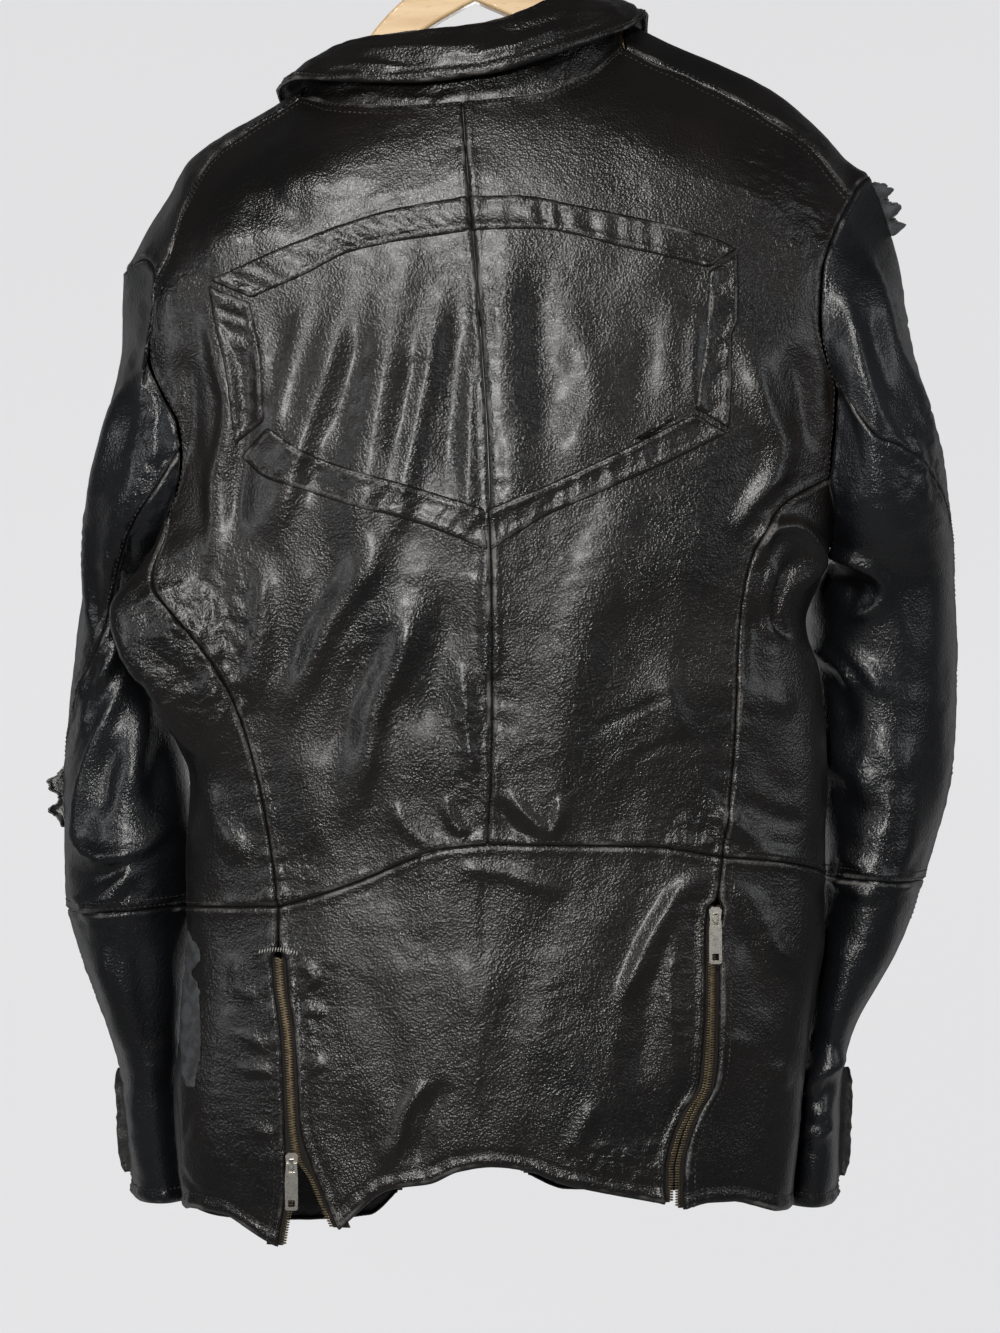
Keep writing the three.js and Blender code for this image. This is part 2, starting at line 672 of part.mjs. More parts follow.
// A flap that stands off a surface along a line on it: `reach` is how far, and `clear` where it starts.
function standingFlap(surface, from, to, reach, clear, ragged = 0) {
  const along = steps(6);
  const points = [clear, clear + reach / 2, clear + reach].map((height, row) =>
    along.map((t, i) => {
      const at = from.map((value, k) => lerp(value, to[k], t));
      const torn = row === 2 && i % 2 ? ragged : 0;
      return surface.point(at).addScaledVector(outward(surface, at), height - torn);
    }),
  );
  const normals = points.map((row) => row.map(() => new THREE.Vector3(0, -1, 0)));
  return wall(points, normals, LEATHER);
}

const SLEEVE_ROWS = [0, 0.03, 0.08, 0.15, 0.23, 0.32, 0.41, 0.5, 0.6, 0.7, CROSS_SEAM];
const FOREARM_ROWS = [CROSS_SEAM, 0.84, 0.885, 0.93, 0.965, HEM_END];
const VENT_FROM = 0.92; // the cuff's vent opens from here
const VENT_OPEN = 0.025; // half the vent at the hem, as a share of the way round
const VENT_SLIT = 0.001; // half the slit above it
const VENT_FLAP = { from: 0.935, to: 0.99, reach: 7, clear: 1.2 };

for (const side of [RIGHT, LEFT]) {
  const name = side > 0 ? "right" : "left";
  const backSeam = smooth(SLEEVES[side].backSeam);
  const frontSeam = () => FRONT_SEAM;
  const beforeTop = () => FRONT_SEAM - 1;
  const vent = smooth([[0, VENT_SLIT], [VENT_FROM, VENT_SLIT], [HEM_END, VENT_OPEN]]);
  const farVent = (v) => 1 - vent(v);
  const top = sleevePanel(side, beforeTop, backSeam, 0, CROSS_SEAM, 8, SLEEVE_ROWS);
  const under = sleevePanel(side, backSeam, frontSeam, 0, CROSS_SEAM, 8, SLEEVE_ROWS);
  const forearm = sleevePanel(side, vent, farVent, CROSS_SEAM, HEM_END, 16, FOREARM_ROWS);
  add(`sleeve_top_${name}`, top, SLEEVE_LEATHER);
  add(`sleeve_under_${name}`, under, SLEEVE_LEATHER);
  add(`forearm_${name}`, forearm, SLEEVE_LEATHER);
  const { from, to, reach, clear } = VENT_FLAP;
  add(`vent_flap_${name}`, standingFlap(SLEEVE[side], [0, from], [0, to], reach, clear), SLEEVE_LEATHER);
}

// ---- Torn bits ----

const TEAR_CLEAR = 1.3;
const TEAR_RAGGED = 5; // how much shorter every other tooth of a torn edge is
const TEARS = {
  torn_shoulder: { surface: SLEEVE[RIGHT], from: [0.01, 0.01], to: [0.01, 0.07], reach: 13 },
  torn_sleeve: { surface: SLEEVE[LEFT], from: [0, 0.62], to: [0, 0.68], reach: 11 },
};
for (const [name, { surface, from, to, reach }] of Object.entries(TEARS)) {
  add(name, standingFlap(surface, from, to, reach, TEAR_CLEAR, TEAR_RAGGED), RAW_LEATHER);
}

// ---- Collar ----

// The neck seam runs from the left front over the left shoulder, the back and the right shoulder.
const neckSeam = edge(
  [0.22, (t) => bodyPoint(runs[LEFT].neckFront(t))],
  [0.28, (t) => shoulderPoint(runs[LEFT].neckCap(1 - t))],
  [0.5, (t) => bodyPoint(runs[LEFT].neckBack(1 - t))],
  [0.72, (t) => bodyPoint(runs[RIGHT].neckBack(t))],
  [0.78, (t) => shoulderPoint(runs[RIGHT].neckCap(t))],
  [1, (t) => bodyPoint(runs[RIGHT].neckFront(1 - t))],
);

// Stations [share of the run, x, y, z] of the fold line and of the edge of the fall.
const FOLD_LINE = [
  [0, -44, 70, -178], [0.12, -88, 50, -142], [0.22, -108, 18, -106], [0.28, -103, -20, -98],
  [0.36, -84, -40, -92], [0.43, -50, -50, -89], [0.5, -12, -53, -88], [0.57, 26, -51, -76],
  [0.64, 54, -45, -64], [0.7, 76, -30, -62], [0.75, 84, -6, -56], [0.8, 84, 18, -70],
  [0.88, 60, 42, -112], [1, 22, 56, -160],
];
const FALL_EDGE = [
  [0, -84, 86, -225], [0.12, -126, 64, -166], [0.22, -141, 14, -116], [0.28, -130, -26, -117],
  [0.36, -92, -58, -124], [0.43, -44, -71, -127], [0.5, 0, -74, -123], [0.57, 46, -70, -110],
  [0.64, 82, -56, -95], [0.7, 104, -36, -82], [0.75, 114, -8, -69], [0.8, 114, 24, -77],
  [0.88, 100, 60, -126], [1, 66, 82, -205],
];
const STAND_RISE = 1.9;
const FOLD_TUCK = 2;
const FOLD_ROOM = 1.6;
const FALL_SWELL = 7;

const stationed = (stations) => {
  const parts = [1, 2, 3].map((k) => smooth(stations.map((station) => [station[0], station[k]])));
  return (t) => new THREE.Vector3(...parts.map((part) => part(t)));
};
const foldLine = stationed(FOLD_LINE);
const fallEdge = stationed(FALL_EDGE);
const fromNeck = (point) => new THREE.Vector3(point.x + 10, point.y, 0).normalize();

const STAND = {
  point: ([t, rise]) => {
    const foot = neckSeam(t).add(new THREE.Vector3(0, 0, STAND_RISE));
    foot.addScaledVector(fromNeck(foot), -STAND_RISE);
    const head = foldLine(t);
    head.addScaledVector(fromNeck(head), -FOLD_TUCK);
    return foot.lerp(head, rise);
  },
  step: [1e-3, 1e-2],
  facing: 1,
};
const FALL = {
  point: ([t, fall]) => {
    const head = foldLine(t).add(new THREE.Vector3(0, 0, FOLD_ROOM));
    const out = fromNeck(head);
    const swell = FALL_SWELL * Math.sin(Math.PI * clamp(fall, 0, 1)) ** 0.8;
    return head.addScaledVector(out, FOLD_ROOM).lerp(fallEdge(t), fall).addScaledVector(out, swell);
  },
  step: [1e-3, 1e-2],
  facing: -1,
};
const COLLAR_COLUMNS = joined([6, 0.22], [4, 0.28], [NECK_STEPS, 0.5], [NECK_STEPS, 0.72], [4, 0.78], [6, 1]);
const collarPiece = (surface, rows) => {
  const line = (value) => (t) => [t, value];
  const end = (t) => (value) => [t, value];
  const edges = { low: line(0), high: line(1), start: end(0), end: end(1) };
  return panel({ surface, ...edges, us: COLLAR_COLUMNS, vs: steps(rows), wide: 460, tall: 45 });
};
add("collar_stand", collarPiece(STAND, 1), BODY_LEATHER);
add("collar_fall", collarPiece(FALL, 3), BODY_LEATHER);

// ---- Hanger ----

const BOARD = 13; // thickness of the wooden arms
const WIRE = 2; // radius of the hook's wire
const HOOK_RADIUS = 22; // middle of the wire in the crown
const HOOK_FOOT = -65.6;

// The board's outline as [x, z], round the left arm, under the neck, round the right arm, and back over.
const armsOutline = new THREE.Shape();
armsOutline.moveTo(-4, -57);
armsOutline.quadraticCurveTo(-60, -86, -120, -141);
armsOutline.quadraticCurveTo(-170, -186, -206, -214);
armsOutline.quadraticCurveTo(-216, -216, -212, -199);
armsOutline.quadraticCurveTo(-180, -164, -143, -135);
armsOutline.quadraticCurveTo(-100, -108, -78, -84);
armsOutline.quadraticCurveTo(-50, -44, -6, -30);
armsOutline.quadraticCurveTo(34, -32, 60, -60);
armsOutline.quadraticCurveTo(80, -76, 116, -86);
armsOutline.quadraticCurveTo(164, -108, 206, -130);
armsOutline.quadraticCurveTo(222, -142, 210, -152);
armsOutline.quadraticCurveTo(140, -120, 96, -104);
armsOutline.quadraticCurveTo(50, -80, -4, -57);
const boardCut = { depth: BOARD, bevelEnabled: false, curveSegments: 8 };
const armsBoard = new THREE.ExtrudeGeometry(armsOutline, boardCut);
armsBoard.rotateX(QUARTER).translate(0, BOARD / 2, 0);
add("hanger_arms", armsBoard, WOOD);

// The wire's middle line in its own plane, from the wood up and over the crown, as [x, z].
const HOOK_LINE = [
  [0, HOOK_FOOT], [0, -56], [6, -46], [17, -34], [HOOK_RADIUS, -20], [15.6, -4.4], [0, WIRE], [-15.6, -4.4],
  [-HOOK_RADIUS, -20], [-18, -32],
];
const hookLine = new THREE.CatmullRomCurve3(HOOK_LINE.map(([x, z]) => new THREE.Vector3(x, 0, z)));
const wireSection = new THREE.Shape().absarc(0, 0, WIRE, 0, 2 * Math.PI);
const hook = new THREE.ExtrudeGeometry(wireSection, { extrudePath: hookLine, steps: 40, curveSegments: 4 });
const hookMesh = add("hanger_hook", hook, STEEL);
hookMesh.position.z = GARMENT_DROP;
jacket.position.z = -GARMENT_DROP;

// ---- Zips ----

const TAPE_THICK = 0.8;
const TAPE_LIFT = -3.2; // the tape's middle below the middle of the leather
const TAPE_UNDER = 6; // how far the tape runs under the leather
const TAPE_OUT = 3.4; // how far it shows past the leather's edge
const TEETH_FROM = 2.5;
const TEETH_TO = 4.2;
const TEETH_THICK = 1.8;
const TEETH_LIFT = -0.4;

// A strip beside an edge given as [x, z] points, between two distances from it towards the zip's middle.
function strip(points, place, toMiddle, from, to, cut) {
  const moved = (distance) => through(points.map(([x, z]) => [x + toMiddle * distance, z]), place);
  const [near, far] = [moved(from), moved(to)];
  const between = (t) => (u) => [0, 1].map((k) => lerp(near(t)[k], far(t)[k], u));
  return panel({
    surface: BODY,
    low: between(0),
    high: between(1),
    start: near,
    end: far,
    us: steps(1),
    vs: steps(9),
    wide: 1e4,
    tall: 1e4,
    ...cut,
  });
}

function zipHalf(name, points, place, toMiddle) {
  const tape = { lift: TAPE_LIFT, thick: TAPE_THICK };
  const teeth = { lift: TEETH_LIFT, thick: TEETH_THICK };
  add(`${name}_tape`, strip(points, place, toMiddle, -TAPE_UNDER, TAPE_OUT, tape), TAPE);
  add(`${name}_teeth`, strip(points, place, toMiddle, TEETH_FROM, TEETH_TO, teeth), TEETH);
}

const belowTop = (points, top) => points.filter(([, z]) => z < top);
for (const side of [RIGHT, LEFT]) {
  const name = `hem_zip_${side > 0 ? "right" : "left"}`;
  const seam = SEAMS[side];
  zipHalf(`${name}_outer`, belowTop(seam.zipSide, seam.zipFrom), onBack, -side);
  zipHalf(`${name}_inner`, belowTop(seam.zipBack, seam.zipFrom), onBack, side);
  zipHalf(`front_zip_${side > 0 ? "right" : "left"}`, seam.frontEdge, onFront, -side);
}

// The slider and its pull tab, in their own frame: +X right, +Z up, and -Y away from the cloth.
const SLIDER = { wide: 8.4, tall: 13, thick: 1.8, lift: 2.6 };
const BRIDGE = { wide: 2.4, reach: 4.8, half: 3.4, strap: 1.1 };
const TAB = { wide: 8.4, shoulder: 7, long: 30, thick: 1.4, out: 2.3, bar: 1.6 };
const EYE = 4.4; // the windows in the tab
const LOWER_EYE = 6.8; // top of the lower window above the tab's end
const PIVOT_RISE = -1; // the tab's pivot above the middle of the slider

const wasm = await Module();
wasm.setup();

function solidOf(geometry) {
  const bare = geometry.clone();
  bare.deleteAttribute("normal");
  bare.deleteAttribute("uv");
  const merged = mergeVertices(bare, 1e-3);
  const vertProperties = merged.attributes.position.array;
  const triVerts = new Uint32Array(merged.index.array);
  return new wasm.Manifold(new wasm.Mesh({ numProp: 3, vertProperties, triVerts }));
}

function geometryOf(solid) {
  const { vertProperties, triVerts } = solid.getMesh();
  const geometry = new THREE.BufferGeometry();
  geometry.setAttribute("position", new THREE.Float32BufferAttribute(vertProperties, 3));
  geometry.setIndex([...triVerts]);
  geometry.computeVertexNormals();
  return geometry;
}

function outlineOf(points) {
  return new THREE.Shape(points.map(([x, y]) => new THREE.Vector2(x, y)));
}

// A window in an outline, given the same way round as the outline itself.
function windowOf(points) {
  return new THREE.Path([...points].reverse().map(([x, y]) => new THREE.Vector2(x, y)));
}

// An outline in X and Z, `thick` deep, with its outer face at y = -out - thick / 2.
function plate(outline, thick, out) {
  const flat = new THREE.ExtrudeGeometry(outline, { depth: thick, bevelEnabled: false, curveSegments: 5 });
  return flat.rotateX(QUARTER).translate(0, thick / 2 - out, 0);
}

// A slider's plate with the bridge that stands off it and leaves a window for the tab's bar.
function sliderGeometry() {
  const [w, h] = [SLIDER.wide / 2, SLIDER.tall / 2];
  const face = SLIDER.thick / 2;
  const body = outlineOf([[-w, h - 2], [2 - w, h], [w - 2, h], [w, h - 2], [w * 0.72, -h], [-w * 0.72, -h]]);
  const { wide, reach, half, strap } = BRIDGE;
  const bridge = outlineOf([
    [0, half], [reach - 1, half], [reach, half - 1], [reach, 1 - half], [reach - 1, -half], [0, -half],
  ]);
  const [inner, far] = [half - strap, reach - strap];
  bridge.holes.push(windowOf([[face, inner], [far, inner], [far, -inner], [face, -inner]]));
  const arch = new THREE.ExtrudeGeometry(bridge, { depth: wide, bevelEnabled: false });
  arch.translate(0, PIVOT_RISE, -wide / 2);
  arch.applyMatrix4(new THREE.Matrix4().set(0, 0, -1, 0, -1, 0, 0, 0, 0, 1, 0, 0, 0, 0, 0, 1));
  return geometryOf(solidOf(plate(body, SLIDER.thick, 0)).add(solidOf(arch)));
}

// The pull tab hanging from its bar, with a window at its lower end; its pivot is its own origin.
function tabGeometry() {
  const { wide, shoulder, long, thick, bar } = TAB;
  const [w, s] = [wide / 2, shoulder / 2];
  const outline = outlineOf([
    [-s, bar / 2], [s, bar / 2], [w, -8], [w, 1 - long], [w - 1, -long], [1 - w, -long], [-w, 1 - long],
    [-w, -8],
  ]);
  const eye = EYE / 2;
  for (const top of [-bar / 2, LOWER_EYE - long]) {
    const foot = top - EYE;
    outline.holes.push(windowOf([[-eye, top], [eye, top], [eye, foot], [-eye, foot]]));
  }
  return plate(outline, thick, 0);
}

// Where each slider sits: the middle of the zip at a height, on the back or on the front.
const SLIDER_PLACES = {
  hem_zip_right: { at: [154.6, -677], place: onBack },
  hem_zip_left: { at: [-123.4, -838], place: onBack },
  front_zip: { at: [27.5, -812], place: onFront },
};

for (const [name, { at, place }] of Object.entries(SLIDER_PLACES)) {
  const spot = place(at);
  const point = bodyPoint(spot);
  const out = outward(BODY, spot);
  const behind = out.y < 0;
  const frame = new THREE.Group();
  frame.position.copy(point).addScaledVector(out, SLIDER.lift);
  frame.rotation.z = behind ? 0 : Math.PI;
  const slider = new THREE.Mesh(sliderGeometry(), NICKEL);
  slider.name = `${name}_slider`;
  const tab = new THREE.Mesh(tabGeometry(), NICKEL);
  tab.name = `${name}_tab`;
  tab.position.set(0, -TAB.out, PIVOT_RISE);
  frame.add(slider, tab);
  jacket.add(frame);
}

// ---- The worn patch on the left edge of the skirt: raw leather where the finish has gone ----

const patchLine = (points) => through(points, onBack);
const patchInner = patchLine([[-196, -700], [-190, -730], [-192, -765], [-194, -790]]);
const patchOuter = patchLine([[-203, -700], [-204, -730], [-206, -765], [-208, -790]]);
const patch = {
  surface: BODY,
  low: (t) => patchOuter(0).map((value, k) => lerp(value, patchInner(0)[k], t)),
  high: (t) => patchOuter(1).map((value, k) => lerp(value, patchInner(1)[k], t)),
  start: patchOuter,
  end: patchInner,
  us: steps(2),
  vs: steps(8),
  lift: BAND_LIFT,
  wide: 20,
  tall: 90,
};
add("torn_edge", panel(patch), RAW_LEATHER);

export default jacket;
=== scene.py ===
"""A worn black leather jacket on a wooden hanger, seen from its back.

Sizes are in millimetres, at the heights of the jacket's own pattern. `world` turns them into metres in
the frame, where the hanger's hook carries the jacket at the origin. The back faces -Y, the open front +Y.
"""

import logging
import math
from dataclasses import dataclass, field
from enum import Enum
from itertools import product
from typing import Callable, Sequence

import bmesh
import bpy
import numpy as np
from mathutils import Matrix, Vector

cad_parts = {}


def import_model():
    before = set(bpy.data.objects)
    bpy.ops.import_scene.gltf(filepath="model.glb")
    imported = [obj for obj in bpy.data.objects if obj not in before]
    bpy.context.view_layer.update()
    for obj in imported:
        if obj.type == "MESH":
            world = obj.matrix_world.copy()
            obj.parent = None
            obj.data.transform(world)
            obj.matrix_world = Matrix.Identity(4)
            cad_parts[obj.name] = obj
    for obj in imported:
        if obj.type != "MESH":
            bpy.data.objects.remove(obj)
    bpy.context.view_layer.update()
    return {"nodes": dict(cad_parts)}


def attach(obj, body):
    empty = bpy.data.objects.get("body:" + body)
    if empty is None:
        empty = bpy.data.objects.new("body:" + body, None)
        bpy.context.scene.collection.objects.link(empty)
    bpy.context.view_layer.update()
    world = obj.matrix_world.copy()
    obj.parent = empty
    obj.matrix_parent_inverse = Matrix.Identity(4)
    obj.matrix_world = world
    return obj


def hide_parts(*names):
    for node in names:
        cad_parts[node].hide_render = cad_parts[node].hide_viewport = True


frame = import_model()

Array = np.ndarray
Run = Callable[[Array], Array]
Point = tuple[float, float]
Line = Sequence[Point]
Colour = tuple[float, float, float]
Piece = bpy.types.Object
Material = bpy.types.Material

MM = 0.001
GARMENT_DROP = 36.0  # the jacket hangs this far below the heights that its pattern is given in
ROOT = "jacket"
LEATHER = 1.5  # wall of one layer
SEAM_GAP = 0.2  # between two pieces
RIGHT, LEFT = 1, -1

log = logging.getLogger("jacket")


def side_name(side: int) -> str:
    """The word for a side of the jacket."""
    return "right" if side > 0 else "left"


def world(points: Array) -> Array:
    """Pattern millimetres as metres in the frame."""
    moved = np.array(points, float)
    moved[..., 2] -= GARMENT_DROP
    return moved * MM


# ---- Curves, noise and small sums on arrays ----


def smooth(stations: Line) -> Run:
    """A smooth curve without overshoot through (place, value) stations, places rising.

    Args:
        stations: the pairs to go through.
    Returns:
        A function from places to values.
    """
    at, value = np.array(stations, float).T
    rise = np.diff(value) / np.diff(at)
    turning = rise[:-1] * rise[1:] <= 0
    total = np.where(turning, 1.0, rise[:-1] + rise[1:])
    inner = np.where(turning, 0.0, 2 * rise[:-1] * rise[1:] / total)
    slope = np.concatenate([rise[:1], inner, rise[-1:]])

    def curve(place: Array) -> Array:
        """The value at each place."""
        here = np.clip(place, at[0], at[-1])
        i = np.clip(np.searchsorted(at, here, side="right") - 1, 0, len(at) - 2)
        span = at[i + 1] - at[i]
        t = (here - at[i]) / span
        s = 1 - t
        ends = s * s * (1 + 2 * t) * value[i] + t * t * (1 + 2 * s) * value[i + 1]
        return ends + s * t * span * (s * slope[i] - t * slope[i + 1])

    return curve


def route(points: Sequence[Sequence[float]]) -> Run:
    """A smooth route through points of any number of values, run from 0 to 1 by length."""
    stops = np.array(points, float)
    lengths = np.linalg.norm(np.diff(stops, axis=0), axis=1)
    run = np.concatenate([[0.0], np.cumsum(lengths)]) / lengths.sum()
    parts = [smooth(np.column_stack([run, stops[:, k]])) for k in range(stops.shape[1])]
    return lambda t: np.stack([part(np.asarray(t, float)) for part in parts], axis=-1)


def edge(*stretches: tuple[float, Run]) -> Run:
    """An edge of stretches that meet: each is (where it ends, its own route from 0 to 1)."""

    def run(t: Array) -> Array:
        """The point at each share of the whole edge."""
        t = np.asarray(t, float)
        starts = [0.0] + [end for end, _ in stretches[:-1]]
        whole = None
        for start, (end, part) in reversed(list(zip(starts, stretches))):
            here = part(np.clip((t - start) / (end - start), 0, 1))
            whole = here if whole is None else np.where((t <= end + 1e-9)[..., None], here, whole)
        return whole

    return run


def reverse(run: Run) -> Run:
    """The same route, run the other way."""
    return lambda t: run(1 - np.asarray(t, float))


def through(points: Line, place: Callable[[Array], Array]) -> Run:
    """A route through points, each then placed on a surface."""
    run = route(points)
    return lambda t: place(run(t))


def mix(a: Array, b: Array, t: Array) -> Array:
    """Between a and b."""
    return a + (b - a) * t


def ease(t: Array) -> Array:
    """A soft step from 0 to 1."""
    t = np.clip(t, 0, 1)
    return t * t * (3 - 2 * t)


def unit(vectors: Array) -> Array:
    """Vectors of length one."""
    return vectors / np.maximum(np.linalg.norm(vectors, axis=-1, keepdims=True), 1e-9)


def bell(distance: Array, wide: float) -> Array:
    """A soft bell of height one."""
    return np.exp(-((distance / wide) ** 2))


class Noise:
    """Smooth seeded noise over points in space."""

    def __init__(self, seed: int) -> None:
        """Shuffles the table of slopes.

        Args:
            seed: which noise it is.
        """
        random = np.random.default_rng(seed)
        self.shuffle = np.tile(random.permutation(256), 3)
        self.slopes = unit(random.normal(size=(256, 3)))

    def __call__(self, points: Array, size: float | Sequence[float]) -> Array:
        """Noise from about -1 to 1.

        Args:
            points: where, as (..., 3).
            size: how large its lumps are, alike or along each axis.
        Returns:
            One value a point.
        """
        place = points / np.asarray(size, float)
        cell = np.floor(place).astype(int)
        part = place - cell
        eased = part**3 * (part * (part * 6 - 15) + 10)
        total = np.zeros(points.shape[:-1])
        for corner in product((0, 1), repeat=3):
            a, b, c = np.moveaxis((cell + corner) & 255, -1, 0)
            slope = self.slopes[self.shuffle[self.shuffle[self.shuffle[a] + b] + c]]
            weight = np.prod(np.where(corner, eased, 1 - eased), axis=-1)
            total += weight * np.sum(slope * (part - corner), axis=-1)
        return total * 1.7


NOISE = Noise(11)


def billow(points: Array, size: float | Sequence[float]) -> Array:
    """Round lumps with sharp creases between them, from 0 to about 1."""
    return np.abs(NOISE(points, size))


# ---- The form of the body ----


@dataclass
class BodyForm:
    """The hanging body. Stations are (height, value), but for the ridge of the shoulders, (x, height)."""

    middle: Line = (
        (-900, 5), (-629, 5), (-592, 7), (-524, 8), (-436, 7), (-367, 5), (-304, 1), (-249, -3), (-138, -12),
        (-60, -16),
    )
    right_half: Line = (
        (-900, 203), (-830, 211), (-775, 217), (-730, 223), (-695, 228), (-640, 229), (-560, 226),
        (-515, 223), (-482, 215), (-452, 225), (-429, 230), (-390, 236), (-350, 248), (-290, 262),
        (-230, 272), (-60, 280),
    )
    left_half: Line = (
        (-900, 205), (-800, 214), (-760, 210), (-700, 205), (-620, 206), (-587, 207), (-561, 214),
        (-530, 218), (-471, 222), (-440, 222), (-400, 222), (-350, 232), (-300, 248), (-260, 256), (-60, 262),
    )
    back_depth: Line = (
        (-900, 86), (-780, 84), (-640, 78), (-520, 84), (-400, 90), (-280, 90), (-200, 80), (-136, 62),
        (-100, 52), (-60, 46),
    )
    front_depth: Line = (
        (-910, 80), (-640, 74), (-400, 76), (-280, 74), (-200, 66), (-136, 54), (-60, 46),
    )
    ridge: Line = (
        (-300, -330), (-262, -268), (-243, -241), (-226, -209), (-216, -193), (-199, -165), (-143, -128),
        (-110, -108), (-60, -82), (0, -62), (60, -60), (95, -68), (113, -77), (164, -100), (204, -120),
        (235, -148), (251, -166), (266, -176), (300, -240),
    )
    even: float = 0.6
    back_square: float = 0.55
    front_square: float = 0.62
    shoulder_reach: float = 100.0
    shoulder_power: float = 0.7
    bulge_out: float = 46.0
    bulge_at: tuple[float, float] = (-1.2, -478.0)  # its turn round the section and its height
    bulge_wide: float = 0.22
    bulge_tall: tuple[float, float] = (42.0, 62.0)  # above and below
    swell_out: float = 15.0  # the same bulge towards the back
    swell_at: tuple[float, float] = (-1.12, -505.0)
    swell_wide: float = 0.26
    swell_tall: float = 62.0

    def __post_init__(self) -> None:
        """Makes the curves and the table that undoes `turn`."""
        names = ("middle", "right_half", "left_half", "back_depth", "front_depth", "ridge")
        self.curve = {name: smooth(getattr(self, name)) for name in names}
        self.places = np.linspace(-2, 2, 4001)
        self.turns = self.turn(self.places)

    def turn(self, place: Array) -> Array:
        """The angle round the section, 0 at the middle of the back, at a section place."""
        return math.pi / 2 * (place + self.even * np.sin(math.pi * place) / math.pi)

    def half(self, side: Array, z: Array) -> Array:
        """The half width on the side that `side` has the sign of."""
        return np.where(side > 0, self.curve["right_half"](z), self.curve["left_half"](z))

    def round(self, drop: Array) -> Array:
        """The share of the full depth at a distance below the ridge of the shoulders."""
        t = np.clip(drop / self.shoulder_reach, 0, 1)
        return (1 - (1 - t) ** 2) ** self.shoulder_power

    def point(self, at: Array) -> Array:
        """Points of the body at (section place, height)."""
        place, z = at[..., 0], at[..., 1]
        turn = self.turn(place)
        across, square = np.sin(turn), np.cos(turn)
        x = self.curve["middle"](z) + self.half(across, z) * across
        round_ = self.round(self.curve["ridge"](x) - z)
        back = square >= 0
        full = np.abs(square) ** np.where(back, self.back_square, self.front_square)
        depth = np.where(back, -self.curve["back_depth"](z), self.curve["front_depth"](z)) * round_
        bulge_turn, bulge_z = self.bulge_at
        tall = np.where(z > bulge_z, *self.bulge_tall)
        near = ((turn - bulge_turn) / self.bulge_wide) ** 2 + ((z - bulge_z) / tall) ** 2
        swell_turn, swell_z = self.swell_at
        behind = ((turn - swell_turn) / self.swell_wide) ** 2 + ((z - swell_z) / self.swell_tall) ** 2
        y = depth * full - self.swell_out * np.exp(-behind)
        return np.stack([x - self.bulge_out * np.exp(-near), y, z], axis=-1)

    def on_back(self, xz: Array) -> Array:
        """Section places and heights of (x, height) points behind."""
        x, z = xz[..., 0] - self.curve["middle"](xz[..., 1]), xz[..., 1]
        across = np.clip(x / self.half(x, z), -1, 1)
        return np.stack([np.interp(np.arcsin(across), self.turns, self.places), z], axis=-1)

    def on_front(self, xz: Array) -> Array:
        """Section places and heights of (x, height) points before."""
        at = self.on_back(xz)
        place = np.sign(at[..., 0]) * (2 - np.abs(at[..., 0]))
        return np.stack([place, at[..., 1]], axis=-1)

    def shoulder(self, at: Array) -> Array:
        """Points over a shoulder at (x, round), with round -1 behind, 0 at the ridge and 1 before."""
        x, round_ = at[..., 0], at[..., 1]
        fall = 1 - np.sqrt(1 - np.clip(np.abs(round_), 0, 1) ** (1 / self.shoulder_power))
        z = self.curve["ridge"](x) - self.shoulder_reach * fall
        away = x - self.curve["middle"](z)
        square = np.sqrt(1 - np.clip(away / self.half(away, z), -1, 1) ** 2)
        behind = self.curve["back_depth"](z) * square**self.back_square
        before = self.curve["front_depth"](z) * square**self.front_square
        return np.stack([x, np.where(round_ < 0, behind, before) * round_, z], axis=-1)

    def round_of(self, xz: Sequence[float], sign: int) -> Point:
        """The shoulder coordinates of one (x, height) point, behind or before."""
        x, z = xz
        return x, sign * float(self.round(self.curve["ridge"](np.float64(x)) - z))

    def inside(self, points: Array) -> Array:
        """A point on the middle line beside each point."""
        z = points[..., 2]
        return np.stack([self.curve["middle"](z), np.zeros_like(z), z], axis=-1)


FORM = BodyForm()


# ---- Creases, placed one by one ----


@dataclass(frozen=True)
class Crease:
    """A soft ridge, or a trough where `high` is below zero, along (x, height) points.

    `lean` makes the flank on the left of its run steeper, and `fade` is the share over which it dies away.
    """

    along: Line
    wide: float
    high: float
    lean: float = 0.0
    fade: float = 0.3

    def height(self, x: Array, z: Array) -> Array:
        """What the crease adds at each place."""
        out = np.zeros(len(x))
        stops = np.array(self.along, float)
        reach = 3 * self.wide
        low, high = stops.min(0) - reach, stops.max(0) + reach
        near = np.flatnonzero((x > low[0]) & (x < high[0]) & (z > low[1]) & (z < high[1]))
        if not len(near):
            return out
        line = route(self.along)(np.linspace(0, 1, 4 * len(stops) + 5))
        start, way = line[:-1], np.diff(line, axis=0)
        length = np.linalg.norm(way, axis=1)
        from_start = np.column_stack([x[near], z[near]])[:, None] - start
        t = np.clip(np.sum(from_start * way, axis=-1) / length**2, 0, 1)
        apart = from_start - t[..., None] * way
        distance = np.linalg.norm(apart, axis=-1)
        nearest = distance.argmin(axis=1)
        pick = (np.arange(len(near)), nearest)
        share = (np.cumsum(length)[nearest] - length[nearest] * (1 - t[pick])) / length.sum()
        left = np.sign(way[nearest, 0] * apart[pick][:, 1] - way[nearest, 1] * apart[pick][:, 0])
        wide = self.wide * (1 - self.lean * left)
        taper = ease(share / self.fade + 0.12) * ease((1 - share) / self.fade + 0.12)
        out[near] = self.high * taper * np.exp(-((distance[pick] / wide) ** 2))
        return out


